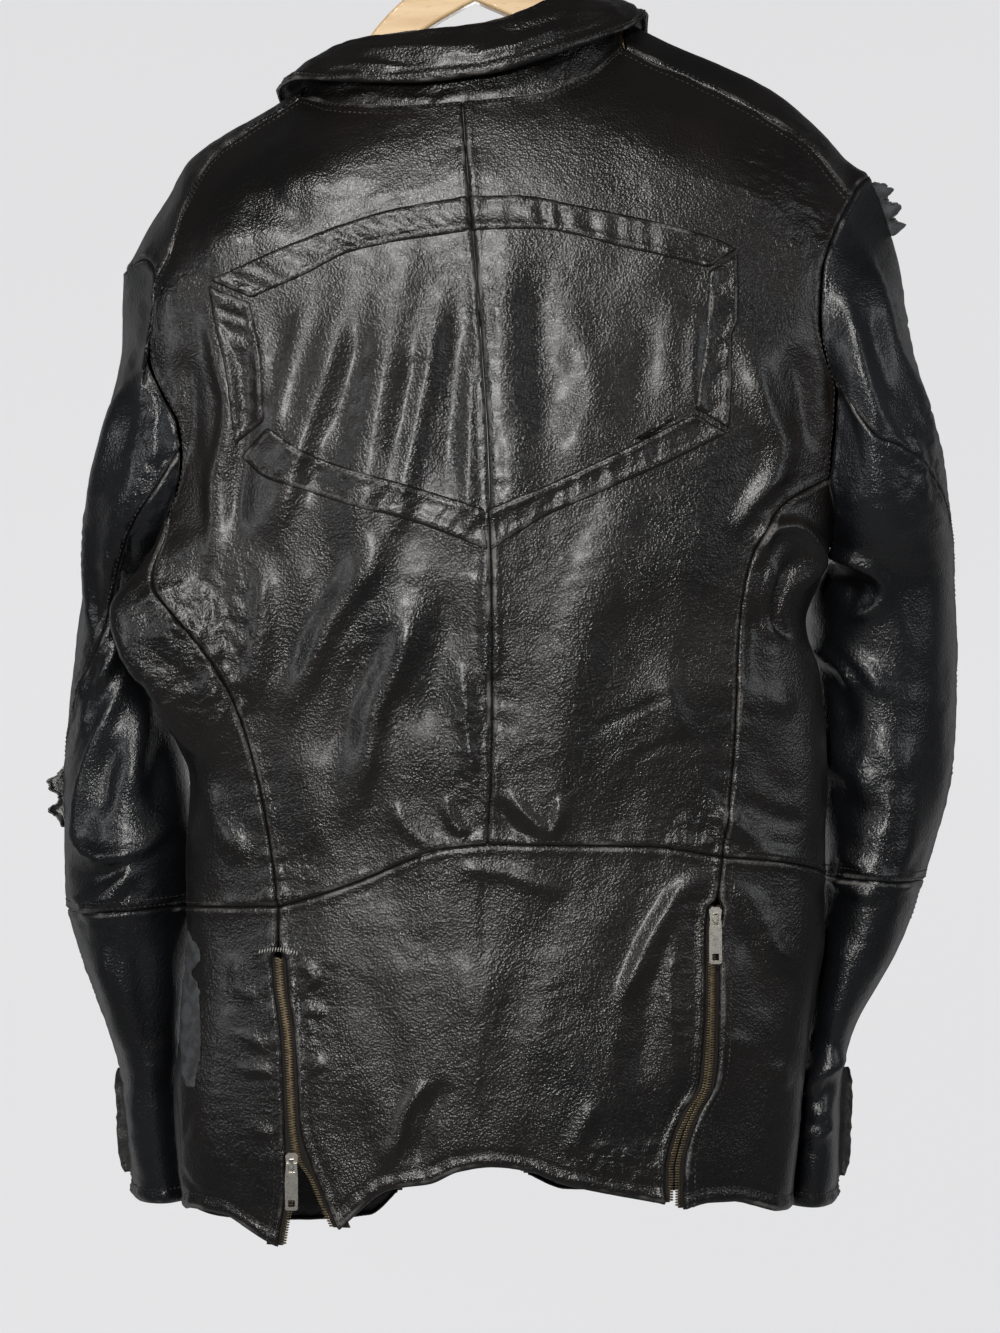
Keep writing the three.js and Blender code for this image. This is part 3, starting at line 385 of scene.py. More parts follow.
@dataclass(frozen=True)
class Crumple:
    """A patch of small wrinkles round (x, height), drawn out along a direction given in degrees."""

    centre: Point
    reach: Point
    size: float
    high: float
    drawn: float = 1.0
    turn: float = 0.0

    def mask(self, points: Array) -> Array:
        """How much of the patch is at each point."""
        x, z = points[:, 0] - self.centre[0], points[:, 2] - self.centre[1]
        return np.exp(-((x / self.reach[0]) ** 4) - (z / self.reach[1]) ** 4)

    def height(self, points: Array) -> Array:
        """What the patch adds at each point."""
        x, z = points[:, 0] - self.centre[0], points[:, 2] - self.centre[1]
        mask = self.mask(points)
        angle = math.radians(self.turn)
        along = x * math.cos(angle) + z * math.sin(angle)
        over = z * math.cos(angle) - x * math.sin(angle)
        lumps = billow(np.stack([along / self.drawn, points[:, 1] * 0.3, over], axis=-1), self.size)
        return self.high * mask * (lumps - 0.3)


def ridges(*rows: tuple) -> tuple[Crease, ...]:
    """Creases from rows of (wide, high, optional lean) and then the x and height of each point in turn."""
    return tuple(Crease(pairs(run), *shape) for shape, *run in rows)


def pairs(run: Sequence[float]) -> Line:
    """Numbers taken two by two as points."""
    return tuple(zip(run[::2], run[1::2]))


BODY_BACK = ridges(
    # folds that hang from the top band
    ((7, 2.2, 0.2), -112, -268, -121, -303, -132, -345, -138, -372),
    ((12, 4.6, 0.3), -84, -256, -92, -289, -102, -320, -113, -354, -125, -395, -141, -440),
    ((17, 5.4, 0.2), -47, -236, -56, -278, -61, -314, -68, -345, -73, -380, -87, -446),
    ((8, -2.4), -74, -290, -84, -330, -94, -370),
    ((10, 3.4, 0.3), -22, -256, -31, -303, -39, -340, -46, -376, -53, -412, -72, -440),
    ((6, -1.4), -40, -300, -50, -345, -56, -385),
    ((4.5, 1.8), -6, -300, -7, -351, -8, -391, -7, -430),
    ((8, -2.0), -14, -285, -18, -340, -22, -400),
    ((16, 3.4, -0.2), 13, -214, 13, -260, 15, -330, 19, -387, 22, -424),
    ((13, -2.6), 36, -250, 40, -310, 42, -372),
    ((9, 1.5), 62, -280, 71, -318, 70, -340, 62, -356, 77, -378),
    ((16, -1.8), 96, -262, 104, -310, 104, -356),
    ((6, 2.0, 0.3), 144, -276, 141, -312, 142, -345),
    ((10, 1.4), 128, -262, 124, -300, 122, -340),
    # the long ridge from the armpit on the right, and what it leaves
    ((9, 4.0), 170, -296, 181, -320, 189, -342, 199, -368, 196, -384, 184, -401, 172, -424),
    ((9, -3.0), 206, -300, 214, -340, 218, -372),
    # left side
    ((8, 4.2, -0.3), -182, -268, -173, -312, -167, -340, -169, -362, -176, -390, -177, -445),
    ((8, -3.4), -196, -300, -190, -345, -192, -385),
    ((7, -2.4), -160, -300, -154, -345, -158, -392, -163, -440),
    ((5, 1.6), -142, -292, -143, -345),
    ((10, 1.6), -150, -172, -118, -156),
    ((17, 2.4), -136, -196, -98, -186),
    ((15, 2.6), -186, -238, -152, -228),
    ((12, -1.8), -160, -210, -110, -214),
    # fans below the band
    ((12, 4.6, 0.25), -60, -424, -76, -452, -96, -477, -115, -517, -127, -550),
    ((10, -3.0), -90, -440, -112, -480, -132, -530),
    ((11, 4.4, 0.2), -38, -462, -53, -509, -69, -541, -74, -570, -81, -592, -92, -622),
    ((11, -2.8), -60, -480, -84, -530, -100, -580),
    ((8, 3.4, -0.2), -143, -436, -144, -475, -149, -509, -153, -545),
    ((12, -2.0), -16, -452, -24, -500, -40, -560),
    ((16, 1.6), -121, -560, -118, -600, -112, -640),
    # the left bulge
    ((6, 4.2, -0.4), -244, -488, -228, -514, -219, -524, -211, -540, -201, -556, -190, -567, -176, -558),
    ((5, 2.2), -186, -562, -176, -540, -181, -512),
    ((6, 2.0), -218, -494, -196, -487, -172, -502),
    ((7, 1.8), -226, -470, -204, -461, -182, -474),
    ((6, -2.4), -222, -505, -204, -512, -188, -530),
    ((9, 1.4), -204, -440, -186, -432, -168, -436),
    ((8, -2.4), -204, -566, -196, -600, -192, -640),
    ((8, 2.0), -180, -590, -172, -615, -158, -640),
    # the fold loop under the right arm
    ((4.8, 8.0), 188, -446, 187, -432, 192, -422, 207, -419, 219, -427, 225, -440, 221, -452, 211, -461),
    ((3.8, -8.5), 214, -432, 208, -444, 199, -460, 195, -476, 198, -486, 207, -494),
    ((3.8, 5.6), 197, -437, 193, -454, 191, -472, 192, -486, 201, -496),
    ((6, 2.6, -0.4), 166, -428, 175, -412, 191, -392, 206, -382),
    ((8, -2.4), 184, -470, 182, -500, 186, -530),
    ((8, 2.0), 187, -536, 210, -534),
    ((10, -1.6), 180, -560, 196, -590, 214, -600),
    # low on the right half
    ((7, 1.8), 122, -516, 126, -536, 139, -560),
    ((2.4, -0.9), 70, -555, 105, -540, 131, -528),
    ((2.4, -0.7), 96, -575, 118, -566, 140, -560),
    ((14, -1.4), 90, -470, 102, -500, 120, -520),
    ((5, 3.0, 0.3), 147, -592, 169, -616, 181, -626, 190, -635, 214, -638),
    ((6, -2.0), 176, -598, 196, -612, 216, -616),
    # the puckered centre seam
    ((5, 2.0), -12, -508, -9, -545, -6, -590),
    ((7, -1.4), 14, -500, 10, -545, 10, -585),
    ((3.6, 3.0), -24, -598, -17, -616, -6, -622),
    ((4.2, 3.4, 0.3), 17, -592, 31, -609, 46, -620, 54, -594),
    ((4, -2.2), 8, -598, 22, -618, 40, -628),
    ((5, 1.8), -60, -600, -44, -622, -24, -632),
    # skirt
    ((5, 1.8, 0.3), -18, -644, 13, -646, 36, -654, 60, -661),
    ((7, 4.2, -0.35), 156, -650, 142, -653, 130, -661, 121, -675, 110, -693, 97, -722, 88, -738),
    ((6, 2.6), 134, -668, 131, -692, 125, -725, 127, -765),
    ((9, -2.2), 118, -700, 108, -735, 104, -790),
    ((6, 3.4, 0.3), 164, -656, 179, -665, 186, -679, 197, -698, 213, -714),
    ((8, -2.2), 172, -680, 184, -710, 190, -750),
    ((5, 1.8), 164, -756, 181, -766),
    ((5, 1.8), 198, -774, 205, -794),
    ((4, 1.4), 165, -700, 163, -760, 152, -800),
    ((3.4, 2.2, 0.3), -160, -704, -158, -721, -148, -735),
    ((4, 2.2), -158, -752, -144, -764),
    ((3.4, 2.0), -158, -778, -134, -780),
    ((4, 1.2), -152, -815, -136, -822),
    ((4, 2.6), -118, -706, -106, -722),
    ((4, 2.0), -118, -737, -102, -740),
    ((4, 1.4), -112, -770, -100, -776),
    ((5, 3.4, 0.3), -34, -782, -49, -806, -54, -824, -64, -842),
    ((6, -2.0), -22, -780, -36, -815, -44, -845),
    ((6, 1.8), 76, -796, 68, -812, 58, -834),
    ((18, 1.4), 0, -690, -4, -740, -4, -800),
    ((22, -1.2), 52, -700, 50, -760, 40, -815),
    # cracks in the finish on the left of the skirt
    ((1.8, -1.6), -213, -800, -219, -818, -224, -848),
    ((2.0, -1.8), -206, -790, -204, -823, -203, -846, -196, -858, -181, -866),
    ((1.8, -1.4), -186, -794, -192, -808, -200, -832),
    ((2.6, 1.6), -195, -668, -194, -696, -197, -709, -199, -733, -199, -768),
    ((6, 2.2), -167, -620, -155, -642),
)

BODY_FRONT = ridges(
    ((14, 4.0, 0.3), 110, -240, 96, -330, 84, -430),
    ((13, 4.4, 0.3), 150, -270, 132, -350, 118, -470, 96, -560),
    ((10, -2.6), 128, -260, 112, -350, 98, -450),
    ((10, 4.0), 186, -420, 160, -470, 130, -540),
    ((9, 3.2), 196, -440, 176, -500, 150, -570, 132, -640),
    ((15, 3.0), 60, -620, 64, -700, 58, -790),
    ((16, 3.4), 100, -650, 106, -730, 98, -820),
    ((13, 3.0), 150, -690, 146, -760, 150, -840),
    ((12, -2.2), 80, -560, 84, -620, 82, -700),
    ((14, 4.0, -0.3), -110, -260, -96, -340, -88, -440),
    ((13, 4.2, -0.3), -150, -280, -132, -360, -116, -470, -100, -570),
    ((10, -2.6), -128, -270, -112, -360, -100, -450),
    ((10, 4.2), -186, -430, -158, -480, -126, -550),
    ((9, 3.0), -190, -470, -168, -540, -146, -620),
    ((15, 3.0), -80, -620, -84, -700, -74, -800),
    ((16, 3.2), -120, -660, -126, -740, -112, -840),
    ((12, 2.6), -160, -720, -152, -790, -158, -860),
    ((10, -2.0), -60, -540, -66, -600, -60, -660),
    ((9, 2.2), 44, -300, 40, -380, 44, -470),
    ((9, 2.2), -60, -310, -56, -390, -60, -480),
    ((4, 1.4), 30, -640, 80, -646, 140, -652),
    ((4, 1.4), -60, -652, -110, -660, -160, -668),
)

SLEEVE_RIGHT_BACK = ridges(
    ((5.5, 3.6, 0.3), 256, -226, 266, -258, 275, -296, 293, -330, 301, -362, 304, -384),
    ((6, 3.4, 0.3), 242, -262, 249, -300, 258, -332, 265, -348, 279, -364),
    ((6, -2.4), 257, -270, 264, -305, 276, -338),
    ((4, 2.4), 288, -354, 293, -381, 297, -404),
    ((5, 1.8), 268, -356, 280, -372, 292, -376),
    ((4.6, 4.8), 228, -434, 240, -437, 252, -442, 265, -448, 272, -458, 270, -468, 261, -476, 244, -478),
    ((6, -4.0), 232, -452, 248, -458, 258, -464),
    ((4.6, 4.2, 0.3), 226, -496, 238, -504, 249, -516, 254, -530),
    ((5, 2.8), 240, -495, 261, -513, 276, -534),
    ((6, -3.0), 236, -512, 246, -532, 252, -556),
    ((9, 2.6), 236, -552, 246, -575, 270, -598),
    ((12, 2.0), 262, -560, 280, -575, 300, -580),
    ((9, -2.2), 232, -586, 250, -606, 276, -616),
    ((5, 2.4), 240, -634, 254, -646, 276, -656),
    ((4, 2.2), 236, -655, 252, -664, 270, -669),
    ((9, 2.2), 246, -690, 244, -730, 236, -770),
    ((6, 5.0, 0.4), 252, -776, 238, -788, 228, -797, 220, -809),
    ((5, -3.4), 246, -794, 236, -806, 226, -818),
    ((3.6, 3.0), 216, -832, 230, -833, 244, -824),
    ((4, -1.6), 222, -845, 236, -846),
    ((7, 2.0), 234, -812, 230, -824),
    ((1.8, 1.0), 281, -442, 278, -471, 287, -502, 298, -524),
    ((1.8, 1.0), 287, -440, 284, -469, 292, -497, 303, -518),
    ((14, 2.4), 296, -420, 306, -460, 306, -520),
    ((12, -1.8), 310, -560, 308, -620, 290, -680),
)

SLEEVE_LEFT_BACK = ridges(
    ((5.5, 4.2, 0.3), -234, -296, -248, -355, -260, -399, -265, -430, -266, -458, -265, -480, -259, -490,
        -246, -489),
    ((7, -3.0), -226, -300, -236, -350, -246, -400),
    ((4.6, 4.4, -0.3), -242, -518, -257, -549, -265, -570, -274, -599, -277, -628, -268, -639,
        -254, -642, -231, -637, -216, -625, -206, -610),
    ((8, 3.2), -230, -528, -232, -554, -236, -582, -237, -604),
    ((7, -3.4), -248, -560, -256, -590, -258, -616),
    ((7, -2.6), -218, -560, -222, -590, -222, -612),
    ((4.6, 4.0, 0.3), -287, -664, -268, -671, -246, -658, -230, -646),
    ((3.6, 2.4), -279, -680, -262, -677, -242, -664),
    ((5, -3.0), -284, -650, -262, -656, -240, -648),
    ((5, 3.0), -246, -492, -253, -508, -264, -530),
    ((5, 2.4), -278, -522, -270, -535, -274, -560),
    ((4, -1.8), -262, -505, -268, -530, -264, -548),
    ((6, 2.6), -224, -318, -214, -344, -218, -382),
    ((5, 2.0), -250, -434, -254, -467, -251, -496),
    ((6, -2.4), -224, -400, -236, -440, -240, -480),
    ((10, 2.6), -262, -700, -252, -740, -246, -780),
    ((9, -2.0), -236, -690, -230, -740, -226, -790),
    ((8, 2.2), -222, -690, -215, -740, -214, -800),
    ((8, 1.8), -240, -800, -238, -840, -234, -870),
)

# The front of a sleeve has folds like its back's, their points as share out from its inner side, height.
SLEEVE_FRONT_FOLDS = (
    ((7, 3.6, 0.3), 0.25, -300, 0.4, -350, 0.62, -400),
    ((6, 4.6, 0.0), 0.1, -430, 0.35, -440, 0.6, -462, 0.5, -486, 0.2, -480),
    ((6, 4.0, 0.3), 0.1, -500, 0.4, -520, 0.7, -560),
    ((8, 3.2, 0.0), 0.2, -540, 0.45, -570, 0.62, -620),
    ((10, 2.4, 0.0), 0.7, -440, 0.75, -520, 0.66, -600),
    ((6, -3.6, 0.0), 0.3, -470, 0.45, -500),
    ((5, 3.2, 0.3), 0.1, -630, 0.4, -650, 0.8, -660),
    ((9, 2.8, 0.0), 0.5, -690, 0.4, -750, 0.5, -800),
    ((5, 2.0, 0.0), 0.2, -820, 0.6, -830),
)

CRUMPLES_BODY = (
    Crumple((200, -176), (30, 34), 5.5, 2.6, 2.6, -12),  # the crushed right shoulder
    Crumple((214, -216), (22, 26), 6.5, 2.4, 2.4, -30),
    Crumple((-196, -512), (40, 56), 8.5, 3.6, 1.4, 55),  # the shiny left bulge
    Crumple((-168, -470), (26, 40), 6, 1.2, 1.5, 60),
    Crumple((150, -622), (30, 16), 7, 2.2, 1.6, -40),
    Crumple((-120, -745), (26, 50), 6, 1.5, 1.8, 30),
    Crumple((-165, -800), (34, 56), 8, 0.9, 1.0, 0),
    Crumple((100, -838), (44, 14), 8, 2.0, 1.0, 90),
    Crumple((-4, -560), (14, 52), 6, 1.5, 1.6, 20),
    Crumple((-130, -650), (24, 18), 6, 1.6, 1.2, 80),
    Crumple((130, -720), (20, 60), 8, 1.2, 1.4, 15),
)
CRUMPLES_SLEEVE = (
    Crumple((296, -365), (20, 34), 6.5, 2.2, 1.6, 60),
    Crumple((268, -590), (34, 26), 8, 1.4, 1.4, 10),
    Crumple((-268, -535), (16, 40), 6, 1.8, 1.8, 35),
    Crumple((-236, -668), (26, 10), 6, 1.6, 2.2, 80),
    Crumple((262, -655), (24, 14), 6, 1.4, 1.4, 0),
    Crumple((-214, -360), (14, 46), 6, 1.2, 1.6, 70),
)


@dataclass(frozen=True)
class Pad:
    """A small pressed rectangle, as a bar tack or a loop's end leaves, by its middle and half sizes."""

    centre: Point
    half: Point
    high: float

    def height(self, x: Array, z: Array) -> Array:
        """What the pad adds at each place."""
        u, v = np.abs(x - self.centre[0]) / self.half[0], np.abs(z - self.centre[1]) / self.half[1]
        return self.high * np.exp(-(u**8) - v**8)


PADS = (
    Pad((148, -628), (6.4, 3.6), 1.5), Pad((131, -626), (8.5, 4.2), 1.0), Pad((-137, -664), (7, 3.4), 1.2),
)
FULLY_CRINKLED = 2.4  # height of a patch of wrinkles that counts as wholly crinkled


def crinkled(crumples: Sequence["Crumple"], points: Array, normals: Array) -> Array:
    """How finely wrinkled each point behind is, from 0 to 1."""
    flat = points.reshape(-1, 3)
    total = np.zeros(len(flat))
    for crumple in crumples:
        total = total + crumple.mask(flat) * min(1, crumple.high / FULLY_CRINKLED)
    return np.clip(total, 0, 1).reshape(points.shape[:-1]) * ease(0.5 - normals[..., 1] * 1.6)


@dataclass
class Relief:
    """All that stands out of a surface's plain form: its creases behind and before, and its crumples."""

    behind: Sequence[Crease]
    before: Sequence[Crease]
    crumples: Sequence[Crumple]
    pads: Sequence[Pad] = ()
    hang: float = 1.0  # how much the long soft folds of a hanging cloth stand out
    small: float = 1.0
    big: float = 1.0
    level: float = 0.5  # how much it is wrinkled level, as a bent sleeve is

    def height(self, points: Array, normals: Array) -> Array:
        """What the relief adds along the normal of each point.

        Args:
            points: (..., 3) places.
            normals: (..., 3) outward directions.
        Returns:
            (...) heights.
        """
        flat, out = points.reshape(-1, 3), normals.reshape(-1, 3)
        x, z = flat[:, 0], flat[:, 2]
        back = ease(0.5 - out[:, 1] * 1.6)
        behind = sum(crease.height(x, z) for crease in self.behind)
        before = sum(crease.height(x, z) for crease in self.before)
        small = sum(crumple.height(flat) for crumple in self.crumples)
        small = small + sum(pad.height(x, z) for pad in self.pads)
        total = self.big * (back * (behind + small) + (1 - back) * before)
        leaning = flat + np.stack([0.3 * (z + 300) * np.sign(-x), 0 * x, 0 * z], axis=-1)
        total += self.hang * 1.3 * NOISE(leaning, (30, 60, 150)) * ease((-150 - z) / 120)
        total += 1.5 * NOISE(flat, 85) + 0.7 * NOISE(flat + 40, 34)
        wrinkled = 0.4 * (billow(flat, 15) - 0.3) * ease(0.5 + NOISE(flat, 60))
        total += self.small * (wrinkled + 0.1 * NOISE(flat, 6.5))
        slope = np.stack([x + 0.35 * z, flat[:, 1], z - 0.3 * x], axis=-1)
        total += self.level * (billow(slope, (30, 26, 10)) - 0.3) * ease(0.4 + 1.2 * NOISE(flat + 90, 75))
        return total.reshape(points.shape[:-1])


# ---- Sheets of leather ----


class Finish(Enum):
    """How an edge of a piece is finished."""

    SEAM = "seam"  # turned under and sewn to its neighbour
    HEM = "hem"  # turned up, with a row of stitches
    EDGE = "edge"  # turned once beside a zip
    RAW = "raw"  # cut


ALL_RAW = dict.fromkeys(("start", "end", "low", "high"), Finish.RAW)
NEAR_EDGE = (0.0, 0.5, 1.1, 1.8, 2.7, 3.8, 5.2, 7.0)  # grid lines close to an edge


def grid_lines(length: float, step: float, corners: Sequence[float] = ()) -> Array:
    """Places of grid lines from 0 to 1, close together near both edges, with one at each corner."""
    near = np.array(NEAR_EDGE) / length
    count = max(2, round((length - 2 * NEAR_EDGE[-1]) / step))
    inner = np.linspace(near[-1], 1 - near[-1], count + 1)[1:-1]
    lines = np.concatenate([near, inner, 1 - near[::-1]])
    for corner in corners:
        lines[np.argmin(np.abs(lines - corner))] = corner
    return lines


def running_length(points: Array, axis: int) -> Array:
    """The length run along an axis of a grid, from its first line."""
    lengths = np.linalg.norm(np.diff(points, axis=axis), axis=-1)
    first = np.zeros_like(np.take(lengths, [0], axis=axis))
    return np.concatenate([first, np.cumsum(lengths, axis=axis)], axis=axis)


def along_run(points: Array, run: Array, at: Array) -> Array:
    """The points, or other triples, at these lengths of a line's run."""
    return np.stack([np.interp(at, run, points[:, k]) for k in range(3)], axis=-1)


def grid_normals(points: Array, inside: Array) -> Array:
    """Unit normals of a grid, turned away from the points inside."""
    normals = unit(np.cross(np.gradient(points, axis=1), np.gradient(points, axis=0)))
    outward = np.sum(normals * (points - inside)) > 0
    return normals if outward else -normals


@dataclass
class Cut:
    """One cut piece: four edges in a surface's coordinates, its rough size and how its edges end."""

    low: Run
    high: Run
    start: Run
    end: Run
    wide: float
    tall: float
    finishes: dict[str, Finish] = field(default_factory=dict)
    corners: tuple[Sequence[float], Sequence[float]] = ((), ())
    step: float = 3.4

    def places(self) -> Array:
        """The grid of surface coordinates, held in by half a seam gap."""
        us = grid_lines(self.wide, self.step, self.corners[0])
        vs = grid_lines(self.tall, self.step, self.corners[1])
        us = mix(SEAM_GAP / 2 / self.wide, 1 - SEAM_GAP / 2 / self.wide, us)
        vs = mix(SEAM_GAP / 2 / self.tall, 1 - SEAM_GAP / 2 / self.tall, vs)
        u, v = us[None, :, None], vs[:, None, None]
        ends = np.array([0.0, 1.0])
        low, high = self.low(ends), self.high(ends)
        flat = mix(mix(low[0], low[1], u), mix(high[0], high[1], u), v)
        upright = mix(self.low(us)[None], self.high(us)[None], v)
        level = mix(self.start(vs)[:, None], self.end(vs)[:, None], u)
        return upright + level - flat


class Sheet:
    """A grid of points of one piece of leather, with its normals, relief and wear."""

    def __init__(self, base: Array, inside: Array, finishes: dict[str, Finish]) -> None:
        """Measures the plain form.

        Args:
            base: (rows, columns, 3) points in pattern millimetres.
            inside: points that its normals turn away from.
            finishes: how each edge ends; one left out is SEAM.
        """
        self.base = base
        self.normals = grid_normals(base, inside)
        self.finishes = {side: finishes.get(side, Finish.SEAM) for side in ("start", "end", "low", "high")}
        along, up = running_length(base, 1), running_length(base, 0)
        self.distance = {"start": along, "end": along[:, -1:] - along, "low": up, "high": up[-1:] - up}
        self.run = {"start": up, "end": up, "low": along, "high": along}
        self.points = base
        self.wear = np.zeros(base.shape[:2])
        self.crinkle = np.zeros(base.shape[:2])
        self.flat = float(along[:, -1].max()), float(up[-1].max())
        sides = np.cross(np.diff(base[:-1], axis=1), np.diff(base[:, :-1], axis=0))
        self.area = float(np.linalg.norm(sides, axis=-1).sum())

    def edge_height(self, side: str) -> Array:
        """The turned, swollen and puckered strip beside one edge."""
        d, s = self.distance[side], self.run[side]
        kind = self.finishes[side]
        lumps = NOISE(np.stack([s, 0.15 * d, 0 * s + self.base[..., 0] * 0.02], axis=-1), 8.5)
        if kind is Finish.RAW:
            return 0.3 * lumps * bell(d, 6)
        if kind is Finish.HEM:
            roll = -1.1 * bell(d, 1.2) + 0.7 * bell(d - 4.5, 3) - 0.8 * bell(d - 10, 1.6)
            return roll + 1.0 * lumps * bell(d - 6, 5.5)
        if kind is Finish.EDGE:
            fold = -0.9 * bell(d, 1.1) + 0.5 * bell(d - 3, 2) - 0.5 * bell(d - 6.5, 1.4)
            return fold + 0.35 * lumps * bell(d, 9)
        return -0.85 * bell(d, 0.75) + 0.5 * bell(d - 3.6, 2.2) + 0.6 * lumps * bell(d - 3, 10)

    def shape(self, relief: Relief, lift: float = 0.0) -> "Sheet":
        """Raises the sheet by its relief, its edges and a lift, and marks its worn places."""
        height = relief.height(self.base, self.normals)
        edges = sum(self.edge_height(side) for side in self.distance)
        self.points = self.base + self.normals * (height + edges + lift)[..., None]
        self.crinkle = crinkled(relief.crumples, self.base, self.normals)
        nearest = np.min(list(self.distance.values()), axis=0)
        rubbed = 0.5 + 0.9 * NOISE(self.base, 26) + 0.5 * NOISE(self.base, 7)
        crest = ease((height - 3.0) / 3.5) * 0.35
        self.wear = np.clip(0.8 * bell(nearest - 2.2, 1.8) * rubbed + crest * rubbed, 0, 1)
        return self

    def facing(self, side: str) -> tuple[Array, Array, Array]:
        """Points, normals and distances turned so that the edge named is the first column."""
        arrays = (self.points, self.normals, self.distance[side])
        if side in ("low", "high"):
            arrays = tuple(np.swapaxes(array, 0, 1) for array in arrays)
        if side in ("end", "high"):
            arrays = tuple(array[:, ::-1] for array in arrays)
        return arrays

    def line(self, side: str, offset: float) -> tuple[Array, Array]:
        """The line on the shaped sheet at a distance from one edge, with its normals."""
        points, normals, distance = self.facing(side)
        i = np.clip((distance < offset).sum(axis=1), 1, distance.shape[1] - 1)
        rows = np.arange(len(i))
        before, after = distance[rows, i - 1], distance[rows, i]
        t = np.clip((offset - before) / np.maximum(after - before, 1e-6), 0, 1)[:, None]
        return (
            mix(points[rows, i - 1], points[rows, i], t),
            unit(mix(normals[rows, i - 1], normals[rows, i], t)),
        )


def ring_faces(lower: Array, upper: Array) -> Array:
    """Quads between two closed rings of vertex numbers."""
    return np.stack([lower, np.roll(lower, -1), np.roll(upper, -1), upper], axis=-1)


def prisms(count: int, sides: int, rings: int) -> list[tuple]:
    """The faces of many closed prisms alike, each of some rings of vertices."""
    ring = np.arange(sides)
    offsets = (np.arange(count) * rings * sides)[:, None]
    quads = np.concatenate([ring_faces(ring + j * sides, ring + (j + 1) * sides) for j in range(rings - 1)])
    faces = [tuple(face) for face in (quads[None] + offsets[..., None]).reshape(-1, 4)]
    faces += [tuple(face) for face in ring[::-1] + offsets]
    faces += [tuple(face) for face in ring + (rings - 1) * sides + offsets]
    return faces


def turn_outwards(piece: Piece) -> None:
    """Makes every face of a closed piece look out."""
    mesh = bmesh.new()
    mesh.from_mesh(piece.data)
    bmesh.ops.recalc_face_normals(mesh, faces=mesh.faces)
    mesh.to_mesh(piece.data)
    mesh.free()


def new_object(name: str, points: Array, faces: Sequence, material: Material) -> Piece:
    """An object from metre points and faces, smooth and dressed.

    Args:
        name: the piece's name.
        points: its vertices in the frame, in metres.
        faces: its faces as vertex numbers.
        material: its finish.
    Returns:
        The linked object.
    """
    mesh = bpy.data.meshes.new(name)
    mesh.from_pydata(np.asarray(points).tolist(), [], [list(map(int, face)) for face in faces])
    mesh.polygons.foreach_set("use_smooth", np.ones(len(mesh.polygons), bool))
    mesh.materials.append(material)
    mesh.update()
    piece = bpy.data.objects.new(name, mesh)
    bpy.context.scene.collection.objects.link(piece)
    return piece


def add_value(piece: Piece, name: str, values: Array) -> None:
    """Stores one number a vertex on a piece, for its material to read."""
    piece.data.attributes.new(name, "FLOAT", "POINT").data.foreach_set("value", values.astype(np.float32))


def shell(
    name: str, sheet: Sheet, material: Material, thick: float = LEATHER
) -> Piece:
    """A thin closed wall under a shaped sheet, with a rounded rim.

    Args:
        name: the piece's name.
        sheet: the shaped sheet, its outer face.
        material: its finish.
        thick: the wall in millimetres.
    Returns:
        The object.
    """
    rows, columns = sheet.points.shape[:2]
    outer = sheet.points
    normals = grid_normals(outer, outer - sheet.normals)
    inner = outer - normals * thick
    number = np.arange(rows * columns).reshape(rows, columns)
    loop = np.concatenate([number[0, :-1], number[:-1, -1], number[-1, :0:-1], number[:0:-1, 0]])
    middle = (outer + inner).reshape(-1, 3)[loop] / 2
    beside = outer[np.clip(np.arange(rows), 1, rows - 2)][:, np.clip(np.arange(columns), 1, columns - 2)]
    away = unit(outer.reshape(-1, 3)[loop] - beside.reshape(-1, 3)[loop])
    middle += away * thick * 0.45
    quads = np.stack([number[:-1, :-1], number[:-1, 1:], number[1:, 1:], number[1:, :-1]], axis=-1)
    quads = quads.reshape(-1, 4)
    count = rows * columns
    rim = 2 * count + np.arange(len(loop))
    faces = np.concatenate([
        quads, quads[:, ::-1] + count, ring_faces(loop, rim)[:, ::-1], ring_faces(rim, loop + count)[:, ::-1],
    ])
    du = np.gradient(outer, axis=1)
    dv = np.gradient(outer, axis=0)
    if np.sum(np.cross(du, dv) * normals) < 0:
        faces = faces[:, ::-1]
    points = np.concatenate([outer.reshape(-1, 3), inner.reshape(-1, 3), middle])
    piece = new_object(name, world(points), faces, material)
    wear = sheet.wear.reshape(-1)
    add_value(piece, "wear", np.concatenate([wear, wear * 0.2, np.maximum(wear[loop], 0.35)]))
    crinkle = sheet.crinkle.reshape(-1)
    add_value(piece, "crinkle", np.concatenate([crinkle, crinkle, crinkle[loop]]))
    return piece


# ---- Node trees ----


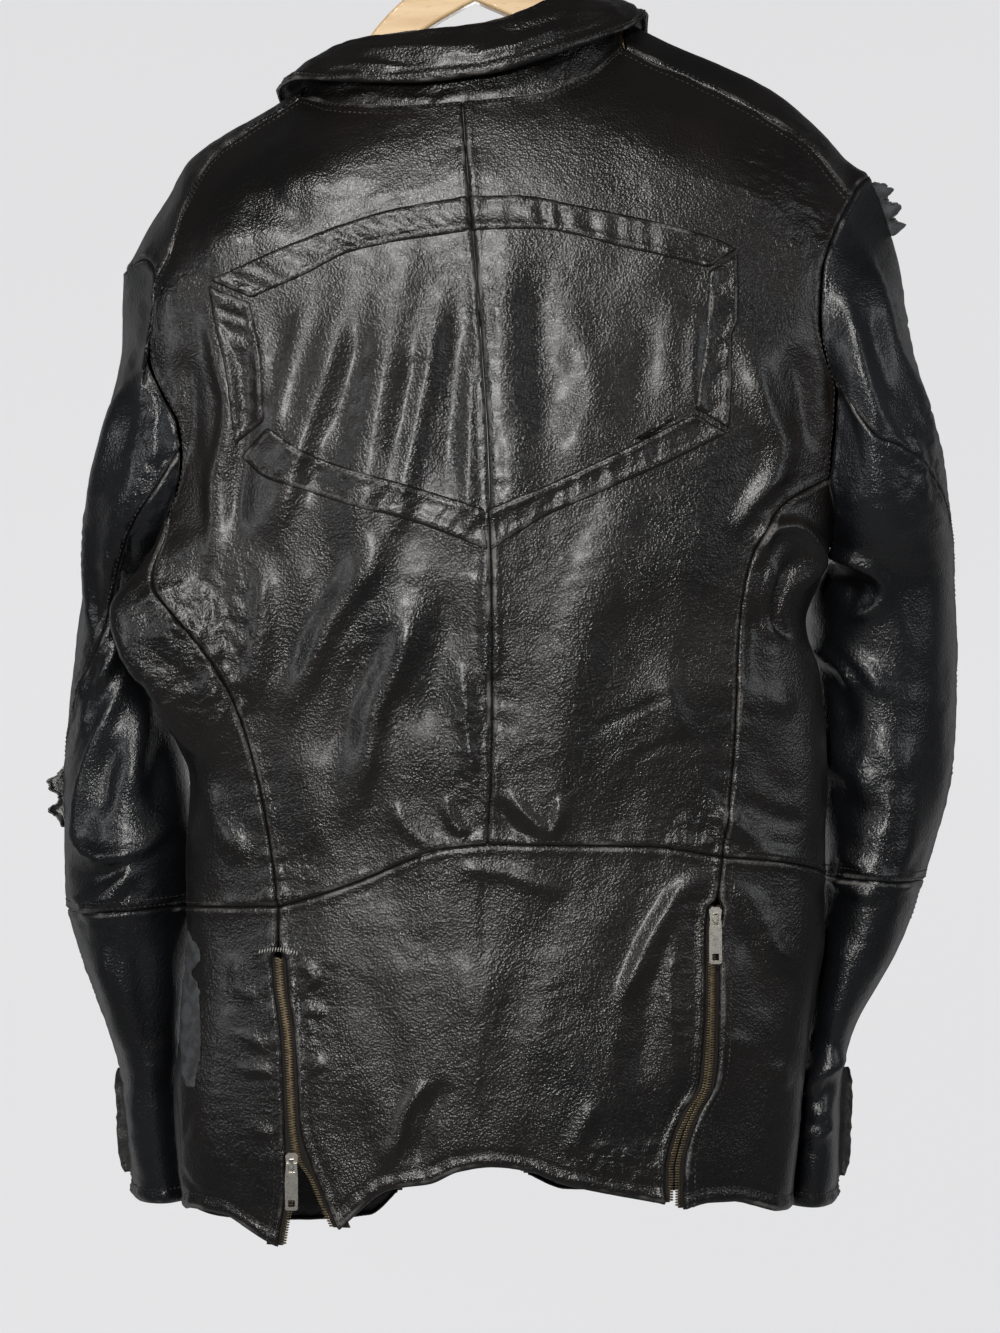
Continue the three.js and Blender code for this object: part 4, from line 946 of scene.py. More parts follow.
class Socket:
    """One value in a node tree, so that sums on it read as sums."""

    def __init__(self, nodes: "Nodes", socket: bpy.types.NodeSocket) -> None:
        """Wraps an output."""
        self.nodes, self.socket = nodes, socket

    def maths(self, operation: str, *values: object) -> "Socket":
        """A Math node on these values."""
        return self.nodes.add("ShaderNodeMath", {"operation": operation}, dict(enumerate(values)))

    def __add__(self, other: object) -> "Socket":
        """Sum."""
        return self.maths("ADD", self, other)

    def __radd__(self, other: object) -> "Socket":
        """Sum, the other way round."""
        return self.maths("ADD", other, self)

    def __sub__(self, other: object) -> "Socket":
        """Difference."""
        return self.maths("SUBTRACT", self, other)

    def __rsub__(self, other: object) -> "Socket":
        """Difference, the other way round."""
        return self.maths("SUBTRACT", other, self)

    def __mul__(self, other: object) -> "Socket":
        """Product."""
        return self.maths("MULTIPLY", self, other)

    def __rmul__(self, other: object) -> "Socket":
        """Product, the other way round."""
        return self.maths("MULTIPLY", other, self)

    def __pow__(self, other: object) -> "Socket":
        """Power."""
        return self.maths("POWER", self, other)

    def clamped(self) -> "Socket":
        """Held between 0 and 1."""
        return self.maths("MINIMUM", self.maths("MAXIMUM", self, 0.0), 1.0)

    def step(self, low: float, high: float) -> "Socket":
        """A soft step from 0 at `low` to 1 at `high`."""
        values = {"Value": self, "From Min": low, "From Max": high}
        return self.nodes.add("ShaderNodeMapRange", {"interpolation_type": "SMOOTHSTEP"}, values)


class Nodes:
    """A material under construction."""

    def __init__(self, name: str) -> None:
        """Starts an empty material with its output."""
        self.material = bpy.data.materials.new(name)
        self.material.use_nodes = True
        self.tree = self.material.node_tree
        self.tree.nodes.clear()
        self.place = self.add("ShaderNodeTexCoord", output="Object")

    def add(
        self, kind: str, settings: dict | None = None, inputs: dict | None = None,
        output: str | int | None = 0,
    ) -> Socket | None:
        """Adds a node.

        Args:
            kind: its type.
            settings: its own properties, set first.
            inputs: values or links by socket name or number.
            output: which output to give back, or None for a node that has none.
        Returns:
            That output.
        """
        node = self.tree.nodes.new(kind)
        for key, value in (settings or {}).items():
            setattr(node, key, value)
        for key, value in (inputs or {}).items():
            socket = node.inputs[key]
            if isinstance(value, Socket):
                self.tree.links.new(value.socket, socket)
            else:
                socket.default_value = value
        return None if output is None else Socket(self, node.outputs[output])

    def noise(self, scale: float, detail: float = 3.0, rough: float = 0.55, warp: float = 0.0) -> Socket:
        """Noise over the piece, lumps of about 1 / scale metres."""
        values = {"Vector": self.place, "Scale": scale, "Detail": detail, "Roughness": rough}
        return self.add("ShaderNodeTexNoise", None, values | {"Distortion": warp}, "Fac")

    def stretched_noise(self, scale: Sequence[float], detail: float = 3.0) -> Socket:
        """Noise drawn out by a different scale along each axis."""
        drawn = self.add("ShaderNodeVectorMath", {"operation": "MULTIPLY"}, {0: self.place, 1: scale})
        return self.add("ShaderNodeTexNoise", None, {"Vector": drawn, "Scale": 1.0, "Detail": detail}, "Fac")

    def cells(self, scale: float) -> Socket:
        """Distance to the middle of the nearest of many round cells."""
        settings = {"feature": "SMOOTH_F1"}
        values = {"Vector": self.place, "Scale": scale, "Smoothness": 0.35, "Randomness": 1.0}
        return self.add("ShaderNodeTexVoronoi", settings, values, "Distance")

    def value(self, name: str) -> Socket:
        """A number stored on the vertices."""
        return self.add("ShaderNodeAttribute", {"attribute_name": name}, None, "Fac")

    def blend(self, factor: object, a: object, b: object) -> Socket:
        """A colour between two colours."""
        node = self.tree.nodes.new("ShaderNodeMix")
        node.data_type = "RGBA"
        for index, value in ((0, factor), (6, a), (7, b)):
            socket = node.inputs[index]
            if isinstance(value, Socket):
                self.tree.links.new(value.socket, socket)
            elif index == 0:
                socket.default_value = value
            else:
                socket.default_value = (*value, 1.0)
        return Socket(self, node.outputs[2])

    def bump(self, height: Socket, strength: float, distance: float) -> Socket:
        """A normal bent by a height."""
        values = {"Height": height, "Strength": strength, "Distance": distance}
        return self.add("ShaderNodeBump", None, values)

    def finish(self, **inputs: object) -> Material:
        """Ends in a Principled shader with these inputs, underscores standing for spaces."""
        named = {name.replace("_", " "): value for name, value in inputs.items()}
        shader = self.add("ShaderNodeBsdfPrincipled", None, named)
        self.add("ShaderNodeOutputMaterial", None, {"Surface": shader}, None)
        return self.material


@dataclass(frozen=True)
class GlossyLeather:
    """Pebbled leather under a glossy finish that is rubbed pale on its seams."""

    name: str
    deep: Colour
    light: Colour
    worn: Colour = (0.16, 0.155, 0.145)
    roughness: float = 0.29
    coat: float = 0.2
    pebble: float = 700.0

    def material(self) -> Material:
        """The node tree."""
        nodes = Nodes(self.name)
        broad, mottle, fine = nodes.noise(9, 3), nodes.noise(70, 4, 0.6), nodes.noise(420, 3)
        wear = nodes.value("wear")
        rubbed = (wear * (0.45 + 1.1 * mottle)).step(0.28, 0.95)
        scratch = nodes.stretched_noise((900, 900, 60), 2).step(0.66, 0.74) * nodes.noise(26).step(0.5, 0.7)
        tone = nodes.blend(broad.step(0.3, 0.7), self.deep, self.light)
        faded = nodes.blend((rubbed * 0.75 + scratch * 0.12).clamped(), tone, self.worn)
        roughness = self.roughness + 0.1 * (mottle - 0.5) + 0.08 * (fine - 0.5)
        roughness = roughness + 0.14 * (broad - 0.5) + 0.2 * rubbed
        grain = nodes.cells(self.pebble) * 0.8 + fine * 0.6 + nodes.noise(300, 3, 0.6) * 0.9
        slack = nodes.noise(75, 3, 0.5, 0.25) * 1.0
        drawn = nodes.stretched_noise((170, 170, 260), 3)
        normal = nodes.bump(grain + slack + nodes.value("crinkle") * drawn * 3.2, 0.42, 0.0009)
        grazing = nodes.add("ShaderNodeLayerWeight", None, {"Blend": 0.5}, "Facing") ** 3.0
        roughness = roughness + 0.5 * grazing
        coat = self.coat * (1 - 0.6 * rubbed) * (1 - grazing)
        return nodes.finish(
            Base_Color=faded, Roughness=roughness.clamped(), Normal=normal, Coat_Weight=coat.clamped(),
            Coat_Roughness=0.22, Specular_IOR_Level=0.5,
        )


@dataclass(frozen=True)
class RawLeather:
    """Matt suede where the finish has peeled or torn away."""

    name: str = "raw_leather"
    dark: Colour = (0.014, 0.015, 0.017)
    pale: Colour = (0.055, 0.058, 0.062)

    def material(self) -> Material:
        """The node tree."""
        nodes = Nodes(self.name)
        fibre = nodes.noise(900, 5, 0.7)
        patch = nodes.noise(120, 3)
        colour = nodes.blend(patch.step(0.35, 0.65), self.dark, self.pale)
        colour = nodes.blend(fibre * 0.2, colour, (0.15, 0.15, 0.15))
        normal = nodes.bump(fibre + patch, 0.5, 0.0008)
        return nodes.finish(Base_Color=colour, Roughness=0.8 + 0.2 * (fibre - 0.5), Normal=normal)


@dataclass(frozen=True)
class WovenTape:
    """The brown woven tape of a zip."""

    name: str = "zip_tape"
    warp: Colour = (0.018, 0.014, 0.011)
    weft: Colour = (0.007, 0.006, 0.005)

    def material(self) -> Material:
        """The node tree."""
        nodes = Nodes(self.name)
        bands = {"bands_direction": "DIAGONAL"}
        rows = nodes.add("ShaderNodeTexWave", bands, {"Vector": nodes.place, "Scale": 420.0})
        weave = nodes.add("ShaderNodeRGBToBW", None, {0: rows})
        dust = nodes.noise(60)
        colour = nodes.blend(weave * 0.6 + dust * 0.5, self.weft, self.warp)
        normal = nodes.bump(weave, 0.5, 0.0003)
        return nodes.finish(Base_Color=colour, Roughness=0.85 + 0.1 * dust, Normal=normal)


@dataclass(frozen=True)
class Metal:
    """Cast or plated metal, dulled in patches."""

    name: str
    bright: Colour
    dull: Colour
    roughness: float

    def material(self) -> Material:
        """The node tree."""
        nodes = Nodes(self.name)
        patch, fine = nodes.noise(260, 4, 0.6), nodes.noise(1400, 2)
        colour = nodes.blend(patch.step(0.35, 0.7), self.bright, self.dull)
        roughness = (self.roughness + 0.3 * (patch - 0.5) + 0.2 * (fine - 0.5)).clamped()
        normal = nodes.bump(fine, 0.15, 0.0002)
        return nodes.finish(Base_Color=colour, Metallic=1.0, Roughness=roughness, Normal=normal)


@dataclass(frozen=True)
class Beech:
    """Pale beech with flecks and long figure, under a satin varnish."""

    name: str = "beech"
    pale: Colour = (0.78, 0.55, 0.30)
    brown: Colour = (0.62, 0.40, 0.19)

    def material(self) -> Material:
        """The node tree."""
        nodes = Nodes(self.name)
        figure = nodes.stretched_noise((14, 90, 120), 4)
        fleck = nodes.stretched_noise((150, 900, 900), 2).step(0.6, 0.72)
        colour = nodes.blend(figure.step(0.3, 0.7), self.pale, self.brown)
        colour = nodes.blend(fleck * 0.35, colour, (0.40, 0.24, 0.11))
        normal = nodes.bump(figure + fleck * 0.3, 0.12, 0.0004)
        roughness = 0.42 + 0.15 * (figure - 0.5)
        return nodes.finish(Base_Color=colour, Roughness=roughness, Normal=normal, Coat_Weight=0.2)


@dataclass(frozen=True)
class Thread:
    """Waxed sewing thread, paled in patches: partly worn thread, partly a painted highlight where the
    stitches glint.
    """

    name: str
    colour: Colour
    light: Colour

    def material(self) -> Material:
        """The node tree."""
        nodes = Nodes(self.name)
        twist = nodes.noise(1500, 2)
        # the pale colour, blended in patches, is partly worn thread and partly a painted highlight for glints
        # on the stitches
        colour = nodes.blend(nodes.noise(50).step(0.5, 0.75), self.colour, self.light)
        normal = nodes.bump(twist, 0.3, 0.0002)
        return nodes.finish(Base_Color=colour, Roughness=0.45 + 0.2 * twist, Normal=normal)


class Wardrobe:
    """Every finish that the jacket is dressed in, made once."""

    def __init__(self) -> None:
        """Makes the materials."""
        brown = (0.0042, 0.0036, 0.0033), (0.0095, 0.0075, 0.0065)
        blue = (0.0035, 0.0038, 0.0046), (0.0075, 0.0082, 0.0098)
        self.body = GlossyLeather("body_leather", *brown).material()
        self.sleeve = GlossyLeather("sleeve_leather", *blue).material()
        self.raw = RawLeather().material()
        self.tape = WovenTape().material()
        self.teeth = Metal("zip_teeth", (0.46, 0.37, 0.24), (0.20, 0.155, 0.10), 0.4).material()
        self.nickel = Metal("nickel", (0.80, 0.77, 0.70), (0.55, 0.52, 0.46), 0.3).material()
        self.steel = Metal("steel_wire", (0.62, 0.62, 0.60), (0.45, 0.45, 0.44), 0.25).material()
        self.wood = Beech().material()
        # its second, paler colour is partly a painted highlight on the stitches
        self.thread = Thread("thread", (0.022, 0.020, 0.018), (0.16, 0.15, 0.135)).material()
        self.pale_thread = Thread("worn_thread", (0.42, 0.41, 0.38), (0.65, 0.63, 0.58)).material()


# ---- Stitches ----


@dataclass
class Stitching:
    """Rows of stitches gathered into one piece."""

    name: str
    pitch: float = 3.8
    long: float = 2.6
    radius: float = 0.52
    sides: int = 4
    rings: tuple[tuple[float, float, float], ...] = ((-0.5, 0.35, -0.2), (0.0, 1.0, 0.3), (0.5, 0.35, -0.2))
    points: list[Array] = field(default_factory=list)
    count: int = 0

    def row(self, line: tuple[Array, Array]) -> None:
        """Sews along a line of points with normals."""
        points, normals = line
        run = running_length(points, 0)
        count = int(run[-1] / self.pitch)
        if count < 1:
            return
        at = (np.arange(count) + 0.5) * self.pitch
        ahead, behind = (along_run(points, run, at + apart) for apart in (0.6, -0.6))
        normal = unit(along_run(normals, run, at))
        along = unit(ahead - behind)
        beside = unit(np.cross(normal, along))
        self.add((ahead + behind) / 2, along, beside, normal)

    def add(self, middle: Array, along: Array, beside: Array, normal: Array) -> None:
        """Adds one stitch at each middle, with its own axes."""
        angle = 2 * math.pi * np.arange(self.sides) / self.sides
        rings = []
        for place, wide, rise in self.rings:
            centre = middle + along * self.long * place + normal * rise * self.radius
            size = self.radius * wide
            wheel = [centre + size * (math.cos(a) * beside + math.sin(a) * normal) for a in angle]
            rings.append(np.stack(wheel, axis=1))
        self.points.append(np.stack(rings, axis=1).reshape(-1, 3))
        self.count += len(middle)

    def build(self, material: Material, slot: str) -> Piece:
        """Makes the piece and lets it ride on the jacket."""
        faces = prisms(self.count, self.sides, len(self.rings))
        piece = new_object(self.name, world(np.concatenate(self.points)), faces, material)
        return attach(piece, ROOT)


# ---- The cut pieces ----

NECK_CENTRE = (-12, -137)
WAIST_CENTRE = (5, -629)
HEM_FRONT = {LEFT: (-60, -886), RIGHT: (33, -874)}
HEM_BACK = (
    (-93, -882), (-59, -855), (-33, -851), (-14, -843), (7, -840), (32, -843), (53, -851), (122, -866),
)
NECK_SHARE = 0.42
ARM_SHARE = 0.5
WAIST_SHARE = 0.28
FRONT_ARM_SHARE = 0.68
PLACE_LENGTH = 250.0  # length round the body of one unit of section place


@dataclass(frozen=True)
class Seams:
    """The seams and edges of one side, as (x, height) points behind or before."""

    side: int
    neck_back: Line
    shoulder_back: Line
    arm_back: Line
    side_back: Line
    waist_back: Line
    waist_edge: float
    arm_low: float
    arm_front: Line
    side_front: Line
    skirt_front: Line
    shoulder_front: Line
    neck_front: Line
    front_edge: Line
    hem_front: Line
    hem_side: Line
    hem_edge: float
    zip_side: Line
    zip_back: Line
    zip_from: float
    slider_at: float
    tip: float
    neck_ridge: float
    front_neck_share: float

    def runs(self) -> dict[str, Run]:
        """Every edge as a route in its surface's coordinates."""
        back = ("waist_back", "neck_back", "shoulder_back", "side_back", "arm_back", "zip_side", "zip_back")
        front = ("arm_front", "side_front", "skirt_front", "shoulder_front", "neck_front")
        front += ("front_edge", "hem_front")
        runs = {name: through(getattr(self, name), FORM.on_back) for name in back}
        runs |= {name: through(getattr(self, name), FORM.on_front) for name in front}
        runs["arm_under"] = self.around([self.arm_back[-1]], self.arm_low, self.arm_front[0])
        runs["waist_side"] = self.around([self.waist_back[-1]], self.waist_edge, self.side_front[0])
        runs["hem_side"] = self.around(self.hem_side, self.hem_edge, self.skirt_front[0])
        ends = ((0, self.neck_ridge, "neck_cap"), (-1, self.tip, "arm_cap"))
        runs["seam_back"] = route([FORM.round_of(at, -1) for at in self.dense(self.shoulder_back)])
        runs["seam_front"] = route([FORM.round_of(at, 1) for at in self.dense(self.shoulder_front)])
        for end, x, name in ends:
            behind = FORM.round_of(self.shoulder_back[end], -1)
            before = FORM.round_of(self.shoulder_front[end], 1)
            runs[name] = route([behind, (x, 0.0), before])
        return runs

    @staticmethod
    def dense(points: Line) -> Array:
        """The same line with more points on it."""
        return route(points)(np.linspace(0, 1, 41))

    def around(self, behind: Line, height: float, before: Point) -> Run:
        """A route round the side from points behind, over the side at a height, to a point before."""
        first, last = FORM.on_back(np.array(behind, float)), FORM.on_front(np.array(before, float))
        stops = [*first, (self.side, height), last]
        run = route([(place * PLACE_LENGTH, z) for place, z in stops])
        return lambda t: run(t) / np.array([PLACE_LENGTH, 1.0])


SEAMS = {
    RIGHT: Seams(
        side=RIGHT,
        neck_back=(NECK_CENTRE, (38, -131), (75, -115), (98, -93)),
        shoulder_back=((98, -93), (157, -121), (200, -145), (223, -161), (241, -183), (252, -195)),
        arm_back=(
            (252, -195), (244, -208), (234, -228), (227, -249), (225, -280), (229, -305),
            (237, -330), (233, -386),
        ),
        side_back=(
            (160, -638), (165, -601), (168, -567), (170, -510), (172, -475), (180, -437),
            (200, -406), (233, -386),
        ),
        waist_back=(WAIST_CENTRE, (62, -630), (113, -631), (160, -638)),
        waist_edge=-657,
        arm_low=-429,
        arm_front=((222, -385), (212, -340), (212, -290), (228, -240), (246, -207)),
        side_front=((185, -668), (190, -560), (198, -440), (222, -385)),
        skirt_front=((180, -878), (184, -760), (185, -668)),
        shoulder_front=((92, -98), (157, -127), (200, -154), (232, -186), (246, -207)),
        neck_front=((24, -184), (50, -168), (76, -140), (92, -98)),
        front_edge=(HEM_FRONT[RIGHT], (28, -700), (22, -450), (24, -184)),
        hem_front=(HEM_FRONT[RIGHT], (60, -884), (120, -884), (180, -878)),
        hem_side=((134, -870), (153, -866), (169, -866), (179, -869), (199, -876)),
        hem_edge=-879,
        zip_side=(
            (160, -638), (157.5, -665), (160, -672), (158, -690), (157.5, -736), (157, -764), (155, -787),
            (145, -807), (138, -825), (134, -845), (134, -870),
        ),
        zip_back=(
            (160, -638), (156.5, -665), (150.5, -672), (149, -690), (148.5, -736), (147, -764), (145, -787),
            (134, -807), (126, -825), (122, -845), (122, -866),
        ),
        zip_from=-670,
        slider_at=-677,
        tip=266,
        neck_ridge=95,
        front_neck_share=0.31,
    ),
    LEFT: Seams(
        side=LEFT,
        neck_back=(NECK_CENTRE, (-54, -138), (-97, -134), (-122, -124)),
        shoulder_back=((-122, -124), (-178, -165), (-195, -199), (-206, -237), (-215, -255)),
        arm_back=(
            (-215, -255), (-218, -285), (-220, -308), (-211, -332), (-201, -352), (-199, -378), (-205, -410),
        ),
        side_back=((-134, -671), (-142, -614), (-159, -541), (-180, -479), (-192, -450), (-205, -410)),
        waist_back=(WAIST_CENTRE, (-23, -632), (-43, -638), (-81, -654), (-107, -663), (-134, -671)),
        waist_edge=-676,
        arm_low=-450,
        arm_front=((-203, -410), (-194, -370), (-198, -330), (-210, -290), (-218, -247)),
        side_front=((-175, -690), (-180, -560), (-188, -460), (-203, -410)),
        skirt_front=((-172, -900), (-174, -780), (-175, -690)),
        shoulder_front=((-116, -130), (-170, -168), (-198, -203), (-218, -247)),
        neck_front=((-40, -200), (-70, -186), (-98, -162), (-116, -130)),
        front_edge=(HEM_FRONT[LEFT], (-52, -760), (-42, -450), (-40, -200)),
        hem_front=(HEM_FRONT[LEFT], (-80, -902), (-115, -904), (-172, -900)),
        hem_side=((-134, -895), (-145, -890), (-155, -884), (-170, -876), (-190, -875)),
        hem_edge=-882,
        zip_side=(
            (-134, -671), (-134.6, -698), (-138, -706), (-137, -722), (-132, -757), (-129, -816),
            (-128, -850), (-134, -895),
        ),
        zip_back=(
            (-134, -671), (-133.4, -698), (-129, -706), (-128, -722), (-122.5, -757), (-119, -816),
            (-113, -836), (-103, -860), (-93, -882),
        ),
        zip_from=-704,
        slider_at=-838,
        tip=-243,
        neck_ridge=-120,
        front_neck_share=0.42,
    ),
}


def stand_in(piece: Piece, node: str, slot: str) -> None:
    """Puts a piece on the jacket in place of a CAD node."""
    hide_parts(node)
    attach(piece, ROOT)


def cloth_piece(
    node: str, sheet: Sheet, material: Material, slot: str, thick: float = LEATHER, kind: str = "leather"
) -> None:
    """Builds and reports one cut piece that stands for a CAD node.

    Args:
        node: the CAD node.
        sheet: its shaped sheet, which knows its flat size.
        material: its finish.
        slot: not used.
        thick: the wall in millimetres.
        kind: what it is made of, the last word of its name.
    """
    piece = shell(f"{node}_{kind}", sheet, material, thick)
    wide, long = sheet.flat
    area = min(sheet.area, wide * long)
    stand_in(piece, node, slot)
    log.info("%s: %d x %d mm, %d faces", node, wide, long, len(piece.data.polygons))


@dataclass
class Body:
    """Back, sides, fronts, shoulders and skirt."""

    fine: float = 2.5
    plain: float = 3.6
    relief: Relief = field(default_factory=lambda: Relief(BODY_BACK, BODY_FRONT, CRUMPLES_BODY, PADS))
    sheets: dict[str, Sheet] = field(default_factory=dict)

    def cuts(self, side: int) -> dict[str, Cut]:
        """The cut pieces of one side."""
        run = SEAMS[side].runs()
        neck_share = SEAMS[side].front_neck_share
        centre = lambda t: np.stack([0 * t, mix(WAIST_CENTRE[1], NECK_CENTRE[1], t)], axis=-1)
        front_side = edge(
            (WAIST_SHARE, run["skirt_front"]), (FRONT_ARM_SHARE, run["side_front"]), (1, run["arm_front"]),
        )
        return {
            "back": Cut(
                run["waist_back"], edge((NECK_SHARE, run["neck_back"]), (1, run["shoulder_back"])), centre,
                edge((ARM_SHARE, run["side_back"]), (1, reverse(run["arm_back"]))), 220, 490,
                corners=((NECK_SHARE,), (ARM_SHARE,)), step=self.fine,
            ),
            "side": Cut(
                run["waist_side"], run["arm_under"], run["side_back"], run["side_front"], 130, 250,
                step=self.fine + 0.3,
            ),
            "skirt": Cut(
                run["hem_side"], run["waist_side"], reverse(run["zip_side"]), run["skirt_front"], 130, 220,
                {"low": Finish.HEM, "start": Finish.EDGE}, step=self.fine + 0.2,
            ),
            "front": Cut(
                run["hem_front"], edge((neck_share, run["neck_front"]), (1, run["shoulder_front"])),
                run["front_edge"], front_side, 160, 710, {"low": Finish.HEM, "start": Finish.EDGE},
                ((neck_share,), (WAIST_SHARE, FRONT_ARM_SHARE)), self.plain,
            ),
        }

    def build(self, wardrobe: Wardrobe) -> None:
        """Makes every panel of the body."""
        for side in (RIGHT, LEFT):
            for name, cut in self.cuts(side).items():
                base = FORM.point(cut.places())
                sheet = Sheet(base, FORM.inside(base), cut.finishes)
                self.panel(f"{name}_{side_name(side)}", sheet, wardrobe)
            self.shoulder(side, wardrobe)
        self.skirt_back(wardrobe)

    def panel(self, node: str, sheet: Sheet, wardrobe: Wardrobe) -> None:
        """Shapes and builds one panel."""
        self.sheets[node] = sheet.shape(self.relief)
        cloth_piece(node, sheet, wardrobe.body, "body_leather")

    def shoulder(self, side: int, wardrobe: Wardrobe) -> None:
        """The strip between the two shoulder seams."""
        run = SEAMS[side].runs()
        edges = (run[name] for name in ("seam_back", "seam_front", "neck_cap", "arm_cap"))
        cut = Cut(*edges, 150, 90, step=self.fine)
        base = FORM.shoulder(cut.places())
        inside = base * np.array([1, 0, 1]) - np.array([0, 0, 60])
        self.panel(f"shoulder_{side_name(side)}", Sheet(base, inside, {}), wardrobe)

    def skirt_back(self, wardrobe: Wardrobe) -> None:
        """The back of the skirt, between the two zips."""
        right, left = SEAMS[RIGHT].runs(), SEAMS[LEFT].runs()
        cut = Cut(
            through(HEM_BACK, FORM.on_back),
            edge((0.5, reverse(left["waist_back"])), (1, right["waist_back"])),
            reverse(left["zip_back"]), reverse(right["zip_back"]), 290, 220,
            {"low": Finish.HEM, "start": Finish.EDGE, "end": Finish.EDGE}, ((0.5,), ()), self.fine,
        )
        base = FORM.point(cut.places())
        self.panel("skirt_back", Sheet(base, FORM.inside(base), cut.finishes), wardrobe)

    def sew(self, stitching: Stitching) -> None:
        """The rows of stitches that show on the body."""
        rows = {
            "back": (("end", 2.4), ("high", 2.4), ("high", 8.0), ("low", 2.6)),
            "side": (("start", 2.4), ("low", 2.6)),
            "skirt": (("start", 2.2), ("start", 7.5), ("low", 10.0), ("high", 2.4)),
            "front": (("start", 2.2), ("start", 7.5), ("low", 10.0), ("high", 2.4)),
            "shoulder": (("low", 2.4), ("high", 2.4)),
        }
        for side in (RIGHT, LEFT):
            for name, lines in rows.items():
                for place, offset in lines:
                    stitching.row(self.sheets[f"{name}_{side_name(side)}"].line(place, offset))
        for place, offset in (("start", 2.2), ("start", 7.5), ("end", 2.2), ("end", 7.5), ("low", 10.0)):
            stitching.row(self.sheets["skirt_back"].line(place, offset))


@dataclass
class Bands:
    """The shield of six applied bands on the back, each between an outer and an inner line."""

    relief: Relief
    lines: dict[str, tuple[Line, Line]] = field(default_factory=lambda: {
        "band_top_right": (
            ((-7, -203), (26, -203), (61, -209), (102, -217), (154, -230), (169, -237)),
            ((-5, -227), (38, -226), (92, -237), (150, -250)),
        ),
        "band_top_left": (
            ((-178, -258), (-140, -241), (-92, -222), (-53, -211), (-8.5, -203)),
            ((-150, -270), (-117, -256), (-86, -241), (-53, -234), (-6.5, -227)),
        ),
        "band_side_right": (
            ((170, -240), (170, -283), (166, -294), (165, -333), (163, -356)),
            ((150, -252.5), (148, -294), (141, -343)),
        ),
        "band_side_left": (
            ((-179, -261), (-176, -280), (-167, -318), (-161, -366)),
            ((-151, -273), (-143, -313), (-141, -351)),
        ),
        "band_low_right": (
            ((7, -436), (46, -412.5), (77, -399), (129, -375.5), (162, -359)),
            ((5, -409), (40, -395), (82, -375.5), (141, -346)),
        ),
        "band_low_left": (
            ((-158, -374), (-141, -388), (-117, -396), (-84, -407), (-49, -416), (5, -436)),
            ((-139, -355), (-113, -372), (-81, -384), (-45, -394), (3, -409)),
        ),
    })
    lift: float = 1.1
    pucker: float = 0.9
    step: float = 1.8

    def build(self, wardrobe: Wardrobe, stitching: Stitching) -> None:
        """Lays each band on the back and sews both its edges."""
        for node, (outer, inner) in self.lines.items():
            low, high = through(outer, FORM.on_back), through(inner, FORM.on_back)
            length = 170 if "side" not in node else 110
            across = lambda t, k: mix(low(np.array([float(k)])), high(np.array([float(k)])), t[:, None])
            cut = Cut(low, high, lambda t: across(t, 0), lambda t: across(t, 1), length, 24, step=self.step)
            base = FORM.point(cut.places())
            sheet = Sheet(base, FORM.inside(base), {})
            sheet.shape(self.relief, self.lift)
            middle = bell(np.minimum(sheet.distance["low"], sheet.distance["high"]) - 11, 7)
            level = 0 * middle + base[0, 0, 0]
            run = np.stack([sheet.run["low"], 0.3 * sheet.distance["low"], level], axis=-1)
            patchy = ease(0.5 + 1.3 * NOISE(base, 55))
            rise = self.pucker * 2.2 * (billow(run, (15, 30, 1)) - 0.28) * middle * patchy
            sheet.points = sheet.points + sheet.normals * rise[..., None]
            cloth_piece(node, sheet, wardrobe.body, "body_leather", 1.0)
            for place in ("low", "high"):
                stitching.row(sheet.line(place, 2.2))


# ---- Sleeves ----

CAP = 0.3  # share of a sleeve over which the armhole's own shape fades
CROSS_SEAM = 0.785
FRONT_SEAM = 0.64
VENT_FROM = 0.92

# Stations: (share of the run, outer x, outer z, inner x, inner z, middle y, half depth).
SLEEVE_STATIONS = {
    RIGHT: (
        (0, 266, -178, 237, -429, 0, 66), (0.1, 285, -232, 239, -432, 0, 74),
        (0.22, 296, -300, 238, -435, 4, 76),
        (0.36, 322, -392, 235, -444, 18, 74), (0.46, 329, -452, 224, -472, 40, 68),
        (0.56, 332, -520, 228, -515, 44, 64), (0.66, 329, -580, 232, -575, 42, 62),
        (0.76, 315, -642, 234, -637, 40, 62), (0.84, 291, -707, 230, -702, 42, 60),
        (0.9, 262, -761, 222, -757, 48, 57), (0.94, 253, -800, 214, -797, 52, 56),
        (1, 250, -886, 204, -884, 62, 52),
    ),
    LEFT: (
        (0, -243, -241, -219, -450, 0, 62), (0.1, -247, -285, -222, -452, 4, 70),
        (0.22, -256, -335, -224, -455, 14, 74),
        (0.36, -270, -415, -229, -462, 36, 72), (0.46, -281, -475, -228, -490, 54, 64),
        (0.56, -288, -540, -212, -535, 54, 64), (0.66, -291, -610, -200, -605, 48, 66),
        (0.76, -290, -665, -197, -660, 44, 66), (0.84, -277, -720, -202, -715, 46, 62),
        (0.9, -257, -772, -206, -768, 52, 58), (0.94, -251, -800, -204, -797, 56, 56),
        (1, -246, -884, -194, -882, 64, 52),
    ),
}
BACK_SEAM = {
    RIGHT: ((0, 0.3), (0.2, 0.25), (0.3, 0.17), (0.42, 0.055), (0.5, 0.01), (1, 0)),
    LEFT: ((0, 0.32), (0.3, 0.31), (0.46, 0.25), (0.56, 0.1), (0.64, 0.01), (1, 0)),
}


